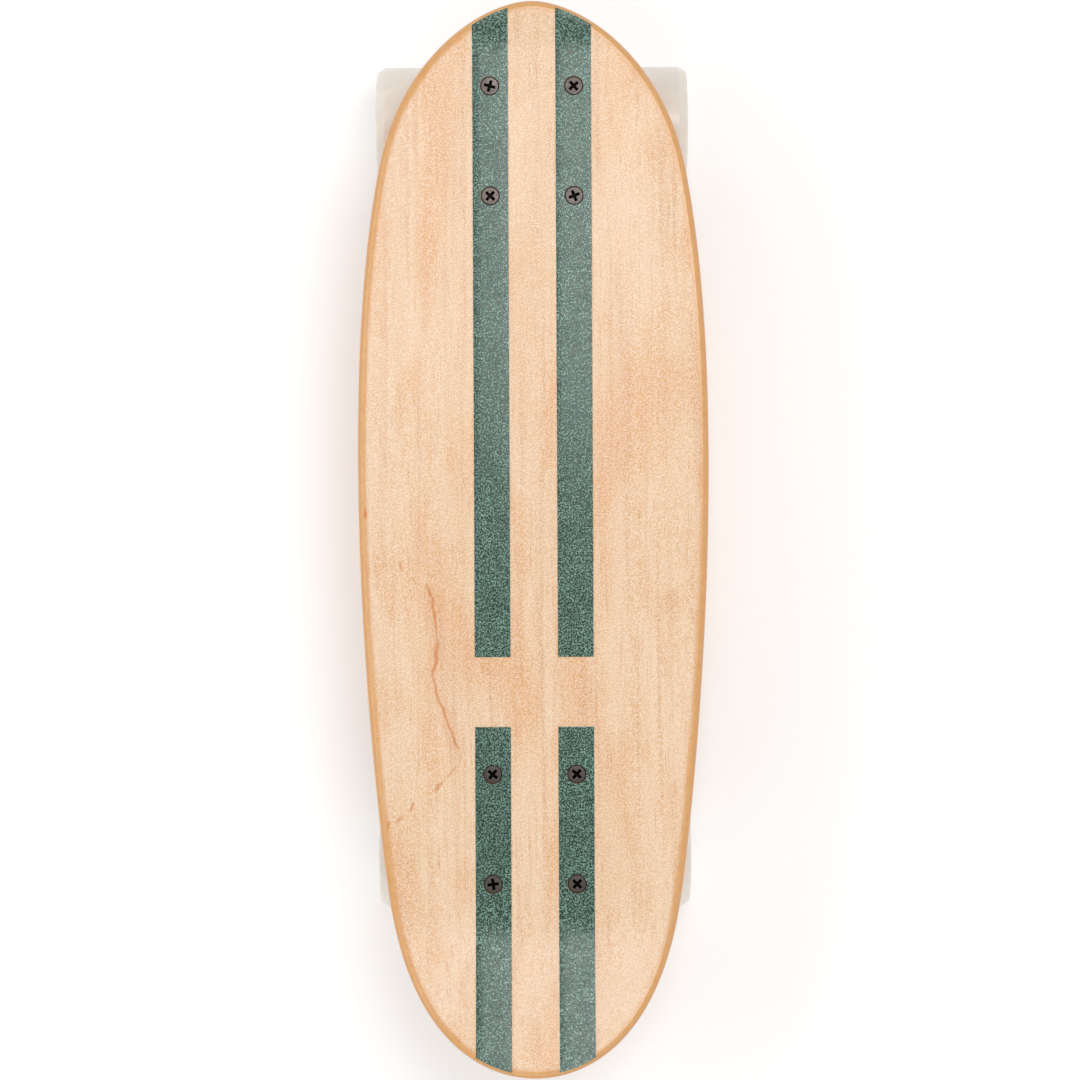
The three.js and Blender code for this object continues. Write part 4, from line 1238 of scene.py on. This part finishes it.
class SKATEBOARD_OT_risers(bpy.types.Operator):
    """Build the rubber riser pads"""
    bl_idname = "skateboard.risers"
    bl_label = "Riser pads"

    def execute(self, context):
        size = extent("riser_front")
        low, top = (corner[2] - PLATE_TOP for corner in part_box("riser_front"))
        outline = rounded_rectangle(size.x, size.y, 6 * MM)
        squeeze = 0.25 * MM
        pad = prism("pad", outline, low - squeeze, top + squeeze, 0.5 * MM)
        hollow = rounded_rectangle(26 * MM, 30 * MM, 5 * MM)
        window = prism("window", hollow, -WELL_PAST, WELL_PAST)
        combine(pad, [*plate_holes(2.8 * MM), window], "DIFFERENCE", 35)
        for end in ENDS:
            placed(pad, f"riser_pad_{end}", truck_frame(end), "deck", "riser", f"riser_{end}")
        discard(pad)
        return {"FINISHED"}


class SKATEBOARD_OT_baseplates(bpy.types.Operator):
    """Build the cast baseplates and their pivot cups"""
    bl_idname = "skateboard.baseplates"
    bl_label = "Baseplates"

    def execute(self, context):
        thickness = settings().truck.plate_thickness
        half = thickness / 2
        slab = rounded_rectangle(extent("baseplate_front").x, 80 * MM, 8 * MM)
        cup_boss = turned("boss", [
            (0, 9 * MM, 0), (5 * MM, 9 * MM, 2 * MM), (10 * MM, 2 * MM, 4 * MM),
            (10 * MM, -5.5 * MM, 0), (0, -5.5 * MM, 0),
        ], 64, PIVOT_FRAME)
        outboard = web([
            (KINGPIN_Y, -half), by_kingpin(8 * MM, 12.6 * MM), by_pivot(-9 * MM, 4.5 * MM),
            (PIVOT.y, -half),
        ], 7 * MM)
        inboard = web([
            (KINGPIN_Y, -half), (-29 * MM, -half), (-29 * MM, -thickness),
            by_kingpin(-8 * MM, 15.3 * MM), by_kingpin(0, 15.3 * MM),
        ], 7 * MM)
        cheek = [
            (PIVOT.y - 9 * MM, -half), (-6 * MM, -half), (-6 * MM, -thickness),
            (PIVOT.y - 12 * MM, -thickness - 5 * MM),
        ]
        solids = [
            prism("slab", slab, -thickness, 0), bar(11 * MM, -BOSS_END, -half, 64, KINGPIN_FRAME),
            cup_boss, outboard, inboard, *(web(cheek, 3.5 * MM, x) for x in (-9 * MM, 9 * MM)),
        ]
        # Whatever stands above the plate's top face is cut away, before and after the rounding.
        all_round = rounded_rectangle(0.2, 0.2, 0.01)
        plate = cast("plate", solids, [
            prism("above", all_round, 0, 0.1), bar(7.8 * MM, -9.3 * MM, WELL_PAST, 48, KINGPIN_FRAME),
        ], 6)
        combine(plate, [
            bar(5.05 * MM, -3 * WELL_PAST, WELL_PAST, 48, KINGPIN_FRAME),
            bar(7.8 * MM, -2 * WELL_PAST, 4.1 * MM, 48, PIVOT_FRAME),
            *plate_holes(2.85 * MM),
            prism("lid", all_round, -0.02 * MM, 0.1),
        ], "DIFFERENCE", 40)
        cup = turned("cup", [
            (0, 3.8 * MM, 0), (7.5 * MM, 3.8 * MM, 0.8 * MM), (7.5 * MM, -4.6 * MM, 0),
            (8.2 * MM, -5.0 * MM, 0.3 * MM), (7.9 * MM, -5.9 * MM, 0.4 * MM),
            (4.75 * MM, -5.6 * MM, 0.5 * MM), (4.7 * MM, 1.9 * MM, 1 * MM), (0, 1.9 * MM, 0),
        ], 64, PIVOT_FRAME)
        for end in ENDS:
            at = truck_frame(end)
            placed(plate, f"cast_baseplate_{end}", at, "deck", "cast_alloy", f"baseplate_{end}")
            placed(cup, f"socket_{end}", at, "deck", "cup", f"pivot_cup_{end}")
        discard(plate, cup)
        return {"FINISHED"}


class SKATEBOARD_OT_kingpins(bpy.types.Operator):
    """Build each kingpin with its nut, cupped washers and bushings"""
    bl_idname = "skateboard.kingpins"
    bl_label = "Kingpins and bushings"

    def execute(self, context):
        radius = settings().truck.bushing_radius
        bore = 5 * MM
        core = 4.35 * MM
        thread_low, thread_high = -KINGPIN_END + 1.2 * MM, -WASHER_BOTTOM - 1 * MM
        pin = turned("pin", [
            (0, -KINGPIN_END, 0), (core - 0.7 * MM, -KINGPIN_END, 0), (core, thread_low, 0),
            (core, thread_high, 0), (4.7 * MM, -WASHER_BOTTOM, 0), (4.7 * MM, -9 * MM, 0.4 * MM),
            (7.4 * MM, -9 * MM, 0.5 * MM), (7.4 * MM, -4 * MM, 1.2 * MM), (0, -4 * MM, 0),
        ], 56)
        steel = finish_of("plated_steel")
        thread = threaded("thread", core, thread_low, thread_high, 1.1 * MM, 0.42 * MM, steel)
        pin = joined("pin", [pin, thread])
        nut = lock_nut("nut", 14.3 * MM, 8 * MM, core + 0.1 * MM)
        nut.data.transform(Matrix.Translation((0, 0, -KINGPIN_NUT)))
        steels = (
            (pin, "king_bolt", "kingpin"), (nut, "king_nut", "kingpin_nut"),
            (self.washer(WASHER_TOP, -1), "upper_washer", "cup_washer_upper"),
            (self.washer(WASHER_BOTTOM, 1, 0.84), "lower_washer", "cup_washer_lower"),
        )
        squash = 0.15 * MM
        top, low = -BUSHING_TOP + squash, -RING_TOP + squash
        upper = turned("upper", [
            (bore, low, 0.6 * MM), (radius - 0.4 * MM, low, 2.2 * MM),
            (radius, (top + low) / 2, 20 * MM), (radius - 0.4 * MM, top, 2.2 * MM),
            (bore, top, 0.6 * MM),
        ], 72, None, 7)
        top, low = -BUSHING_BOTTOM + squash, -WASHER_BOTTOM + squash
        lower = turned("lower", [
            (bore, low, 0.6 * MM), (8.6 * MM, low, 1.8 * MM), (radius - 0.2 * MM, top - 2 * MM, 3 * MM),
            (radius - 0.4 * MM, top, 1.4 * MM), (bore, top, 0.6 * MM),
        ], 72, None, 7)
        for end in ENDS:
            at = truck_frame(end) @ KINGPIN_FRAME
            for piece, name, node in steels:
                placed(piece, f"{name}_{end}", at, "deck", "plated_steel", f"{node}_{end}")
            self.cushion(upper, "upper", at, end, BUSHING_TOP, RING_TOP)
            self.cushion(lower, "lower", at, end, WASHER_BOTTOM, BUSHING_BOTTOM)
        discard(upper, lower, *(piece for piece, _, _ in steels))
        return {"FINISHED"}

    def washer(self, down, lip_way, share=1.0):
        """A pressed steel washer whose rim bends over the bushing next to it."""
        thick = 1.2 * MM
        bore = 5.05 * MM
        rim = 11.9 * MM * share
        face = -down - (thick if lip_way < 0 else 0)
        back = -down - (0 if lip_way < 0 else thick)
        lip = face + lip_way * 1.3 * MM
        return turned("washer", [
            (bore, face, 0.1 * MM), (rim - 1.9 * MM, face, 0.8 * MM), (rim - 0.75 * MM, lip, 0.2 * MM),
            (rim, lip, 0.3 * MM), (rim - 0.4 * MM, back, 1.3 * MM), (bore, back, 0.15 * MM),
        ], 72)

    def cushion(self, template, row, at, end, fixed, moving):
        """A bushing, copied into its place in the bushing's finish, with its frame part hidden."""
        made = copied(template, f"{row}_cushion_{end}", at, "bushing")
        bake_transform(made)
        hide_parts(f"bushing_{row}_{end}")


class SKATEBOARD_OT_hangers(bpy.types.Operator):
    """Build the cast hangers"""
    bl_idname = "skateboard.hangers"
    bl_label = "Hangers"

    def execute(self, context):
        truck = settings().truck
        half = extent("hanger_front").x / 2
        thick = truck.beam_middle
        neck = truck.beam_end + 1.4 * MM
        ring_end = RING_TOP + 9 * MM
        beam = turned("beam", [
            (0, -half, 0), (truck.beam_end, -half, 1 * MM), (neck, -27 * MM, 20 * MM),
            (thick, -11 * MM, 20 * MM), (thick, 11 * MM, 20 * MM), (neck, 27 * MM, 20 * MM),
            (truck.beam_end, half, 1 * MM), (0, half, 0),
        ], 72, AXLE_FRAME)
        ring = bar(truck.ring_outer, -ring_end, -RING_TOP, 72, KINGPIN_FRAME)
        rod = turned("rod", [
            (0, 1.5 * MM, 0), (4.4 * MM, 1.5 * MM, 1.6 * MM), (4.4 * MM, -14 * MM, 0), (0, -14 * MM, 0),
        ], 48, PIVOT_FRAME)
        top = 8 * MM
        spine = web([
            by_pivot(-4 * MM, top + MM), by_pivot(4 * MM, top), (AXLE.y + thick * 0.97, AXLE.z + MM),
            (AXLE.y + thick * 0.6, AXLE.z - thick * 0.78), (AXLE.y - thick * 0.6, AXLE.z - thick * 0.7),
            by_kingpin(12 * MM, ring_end - MM), by_kingpin(13 * MM, RING_TOP + 0.5 * MM),
            by_kingpin(13.5 * MM, BUSHING_TOP + 4 * MM),
        ], 18 * MM)
        hanger = cast("hanger", [beam, ring, rod, spine], [
            bar(8 * MM, -ring_end - WELL_PAST, -RING_TOP + 5 * MM, 56, KINGPIN_FRAME),
        ], 7)
        beyond = rounded_rectangle(0.06, 0.06, 0.005)
        combine(hanger, [
            bar(4.15 * MM, -half - WELL_PAST, half + WELL_PAST, 48, AXLE_FRAME),
            *(
                prism("face", beyond, half - 0.4 * MM, half + 2 * WELL_PAST, 0, AXLE_FRAME @ turn)
                for turn in (Matrix(), Matrix.Rotation(math.pi, 4, "X"))
            ),
        ], "DIFFERENCE", 40)
        for end in ENDS:
            body = f"truck_{end}"
            placed(hanger, f"cast_hanger_{end}", truck_frame(end), body, "cast_alloy", f"hanger_{end}")
        discard(hanger)
        return {"FINISHED"}


class SKATEBOARD_OT_axles(bpy.types.Operator):
    """Build the axles with their nuts, washers, spacers and inner races"""
    bl_idname = "skateboard.axles"
    bl_label = "Axles"

    def execute(self, context):
        steel = finish_of("plated_steel")
        half = extent("axle_front").x / 2
        core = 3.6 * MM
        tip = 0.9 * MM
        screw = 12 * MM
        shoulder = half - screw - 0.6 * MM
        rod = turned("axle", [
            (0, -half, 0), (core - 0.5 * MM, -half, 0), (core, -half + tip, 0),
            (core, -half + screw, 0), (4 * MM, -shoulder, 0), (4 * MM, shoulder, 0),
            (core, half - screw, 0), (core, half - tip, 0), (core - 0.5 * MM, half, 0), (0, half, 0),
        ], 48)
        threads = [
            threaded("thread", core, low, low + screw - tip, 1.0 * MM, 0.38 * MM, steel)
            for low in (-half + tip, half - screw)
        ]
        axle = joined("axle", [rod, *threads])
        nut = lock_nut("nut", 13 * MM, extent("axle_nut_front_right").x, core + 0.1 * MM)
        nut.data.transform(Matrix.Translation((0, 0, AXLE_NUT_X)) @ Matrix.Rotation(math.pi, 4, "X"))
        spindle = self.spindle()
        for end in ENDS:
            body = f"truck_{end}"
            place = middle(f"axle_{end}")
            at = Matrix.Translation((0, place.y, place.z)) @ ALONG_X
            placed(axle, f"axle_rod_{end}", at, body, "plated_steel", f"axle_{end}")
            for side, way in SIDES.items():
                out = at @ Matrix.Rotation(0 if way > 0 else math.pi, 4, "X")
                node = f"axle_nut_{end}_{side}"
                placed(nut, f"axle_lock_nut_{end}_{side}", out, body, "plated_steel", node)
                placed(spindle, f"spindle_{end}_{side}", out, body, "bearing_steel")
        discard(axle, nut, spindle)
        return {"FINISHED"}

    def spindle(self):
        """The still pieces inside a wheel: two inner races, the spacer between and two washers."""
        inner, outer = BEARING_X
        half = extent("bearing_front_right_inner").x / 2
        bore = 4.05 * MM
        race, washer = 5.9 * MM, 6 * MM
        return joined("spindle", [
            tube("race", race, bore, inner - half, inner + half, 0.35 * MM),
            tube("race", race, bore, outer - half, outer + half, 0.35 * MM),
            tube("spacer", 5.5 * MM, bore, inner + half + 0.02 * MM, outer - half - 0.02 * MM, 0.3 * MM),
            tube("washer", washer, bore, inner - half - MM, inner - half - 0.05 * MM, 0.2 * MM),
            tube("washer", washer, bore, outer + half + 0.05 * MM, outer + half + MM, 0.2 * MM),
        ])


class SKATEBOARD_OT_wheels(bpy.types.Operator):
    """Build the wheels with their bearings"""
    bl_idname = "skateboard.wheels"
    bl_label = "Wheels and bearings"

    def execute(self, context):
        wheels = settings().wheels
        size = extent("wheel_front_right")
        radius = size.z / 2
        half = size.x / 2
        outer = [
            (9 * MM, 4.8 * MM, 0.2 * MM), (11.05 * MM, 4.8 * MM, 0.1 * MM),
            (11.05 * MM, 12.4 * MM, 0.3 * MM), (13.6 * MM, 12.6 * MM, 0.8 * MM),
            (14.2 * MM, 12.1 * MM, 0.4 * MM), (15.2 * MM, 12.6 * MM, 0.8 * MM),
            (wheels.dish_radius - 0.6 * MM, half - 1.6 * MM, 2.2 * MM),
            (wheels.dish_radius + 1.4 * MM, half, 1.2 * MM),
            (radius - 2.6 * MM, half - 0.15 * MM, 2.4 * MM),
            (radius, half - wheels.lip - 1.2 * MM, wheels.lip * 0.9),
        ]
        mirrored = [(r, -z, fillet) for r, z, fillet in outer[::-1]]
        wheel = turned("wheel", outer + mirrored, 112, None, 6, 40)
        bearing = self.bearing(wheels)
        for end in ENDS:
            for side, way in SIDES.items():
                body = f"wheel_{end}_{side}"
                turn = Matrix.Rotation(way * math.pi / 2, 4, "Y")
                at = Matrix.Translation(middle(body)) @ turn
                placed(wheel, f"urethane_{body}", at, body, "wheel", body)
                for place in ("inner", "outer"):
                    node = f"bearing_{end}_{side}_{place}"
                    at = Matrix.Translation(middle(node)) @ turn
                    placed(bearing, f"ball_{node}", at, body, "bearing_steel", node)
        discard(wheel, bearing)
        return {"FINISHED"}

    def bearing(self, wheels):
        """A ball bearing without its inner race: outer race, balls, cage ring and two shields."""
        half = extent("bearing_front_right_inner").x / 2
        inside = 9.2 * MM
        outer = turned("race", [
            (inside, -half, 0.2 * MM), (11 * MM, -half, 0.5 * MM), (11 * MM, half, 0.5 * MM),
            (inside, half, 0.2 * MM), (inside, 1.4 * MM, 0), (9.55 * MM, 0, 0),
            (inside, -1.4 * MM, 0),
        ], 72)
        # A shield's corners: radius, depth in from the bearing's face, and fillet, in millimetres.
        shield = (
            (6.15, 0.55, 0.1), (6.9, 0.55, 0.3), (7.3, 0.3, 0.3), (8.7, 0.3, 0.3),
            (9.15, 0.6, 0.1), (9.15, 0.9, 0.1), (6.15, 0.85, 0.1),
        )
        shields = [turned("shield", [
            (r * MM, way * (half - deep * MM), fillet * MM) for r, deep, fillet in shield
        ]) for way in (-1, 1)]
        steel = finish_of("bearing_steel")
        balls = linked("balls", bpy.data.meshes.new("balls"))
        ring_tree().apply(
            balls, Count=wheels.balls, Radius=7.6 * MM, Diameter=wheels.ball_diameter, Material=steel,
        )
        balls.data.shade_smooth()
        cage = tube("cage", 8.0 * MM, 7.2 * MM, -1.1 * MM, 1.1 * MM, 0.2 * MM)
        return joined("bearing", [outer, *shields, balls, cage])


class SKATEBOARD_OT_studio(bpy.types.Operator):
    """Build the floor, the lights and the camera"""
    bl_idname = "skateboard.studio"
    bl_label = "Studio"

    def execute(self, context):
        studio = settings().studio
        scene = context.scene
        bm = bmesh.new()
        bmesh.ops.create_grid(bm, x_segments=24, y_segments=24, size=FLOOR_REACH)
        floor = object_from("floor", bm)
        floor.data.materials.append(self.floor_finish(studio))

        world = bpy.data.worlds.new("Pale studio")
        world.use_nodes = True
        background = world.node_tree.nodes["Background"]
        background.inputs["Color"].default_value = (1.0, 1.0, 1.0, 1)
        background.inputs["Strength"].default_value = 0.57
        scene.world = world
        scene.view_settings.view_transform = "Standard"

        self.softbox("key", (0.38, 0.56, 2.2), (1.0, 0.9), 16, False)
        self.softbox("side", (-1.5, 0.15, 1.5), (1.3, 0.8), 7)
        self.softbox("tail", (0.2, -1.7, 1.6), (1.4, 0.6), 6)

        camera = bpy.data.cameras.new("camera")
        camera.sensor_width = 36
        camera.lens = camera.sensor_width * studio.camera_height / studio.view_width
        camera.clip_end = 100
        holder = linked("camera", camera)
        holder.location = (3.1 * MM, -1.25 * MM, DECK_TOP + studio.camera_height)
        holder.rotation_euler = (0, 0, math.radians(CAMERA_ROLL))
        scene.camera = holder
        return {"FINISHED"}

    def softbox(self, name, place, size, power, aimed=True):
        """A soft rectangular light that faces the board, or straight down."""
        light = bpy.data.lights.new(name, "AREA")
        light.shape = "RECTANGLE"
        light.size, light.size_y = size
        light.energy = power
        lamp = linked(name, light)
        lamp.location = place
        if aimed:
            lamp.rotation_euler = (-Vector(place)).to_track_quat("-Z", "Y").to_euler()

    def floor_finish(self, studio):
        """Plain pale card, with the faintest change of tone."""
        finish = Finish("Pale card", {
            "Roughness": 0.8, "Emission Color": (1, 1, 1, 1), "Emission Strength": 0.12,
        })
        tone = colour(studio.floor)
        cloud = finish.fade(finish.noise(3, 2.0), 0.3, 0.7)
        finish.feed("Base Color", finish.mix(cloud, tone, darker(tone, 0.985)))
        return finish.material


# ------------------------------------------------------------------ the add-on

class SKATEBOARD_PT_panel(bpy.types.Panel):
    """Lists the steps that build the skateboard, and its sizes and colours"""
    bl_idname = "SKATEBOARD_PT_panel"
    bl_label = "Skateboard"
    bl_space_type = "VIEW_3D"
    bl_region_type = "UI"
    bl_category = "Skateboard"

    def draw(self, context):
        for operator in OPERATORS:
            self.layout.operator(operator.bl_idname)
        for group in GROUPS[:-1]:
            label = group.__name__.removeprefix("Skateboard").lower()
            box = self.layout.box()
            box.label(text=label.capitalize())
            for name in group.__annotations__:
                box.prop(getattr(settings(), label), name)


GROUPS = (
    SkateboardDeck, SkateboardGrip, SkateboardHardware, SkateboardTruck, SkateboardWheels,
    SkateboardStudio, SkateboardSettings,
)
OPERATORS = (
    SKATEBOARD_OT_studio, SKATEBOARD_OT_deck, SKATEBOARD_OT_strips, SKATEBOARD_OT_bolts,
    SKATEBOARD_OT_risers, SKATEBOARD_OT_baseplates, SKATEBOARD_OT_kingpins, SKATEBOARD_OT_hangers,
    SKATEBOARD_OT_axles, SKATEBOARD_OT_wheels,
)


def register():
    for item in (*GROUPS, *OPERATORS, SKATEBOARD_PT_panel):
        bpy.utils.register_class(item)
    bpy.types.Scene.skateboard = PointerProperty(type=SkateboardSettings)


def unregister():
    del bpy.types.Scene.skateboard
    for item in reversed((*GROUPS, *OPERATORS, SKATEBOARD_PT_panel)):
        bpy.utils.unregister_class(item)


def main():
    register()
    for operator in OPERATORS:
        group, name = operator.bl_idname.split(".")
        getattr(getattr(bpy.ops, group), name)()


if __name__ == "__main__":
    main()
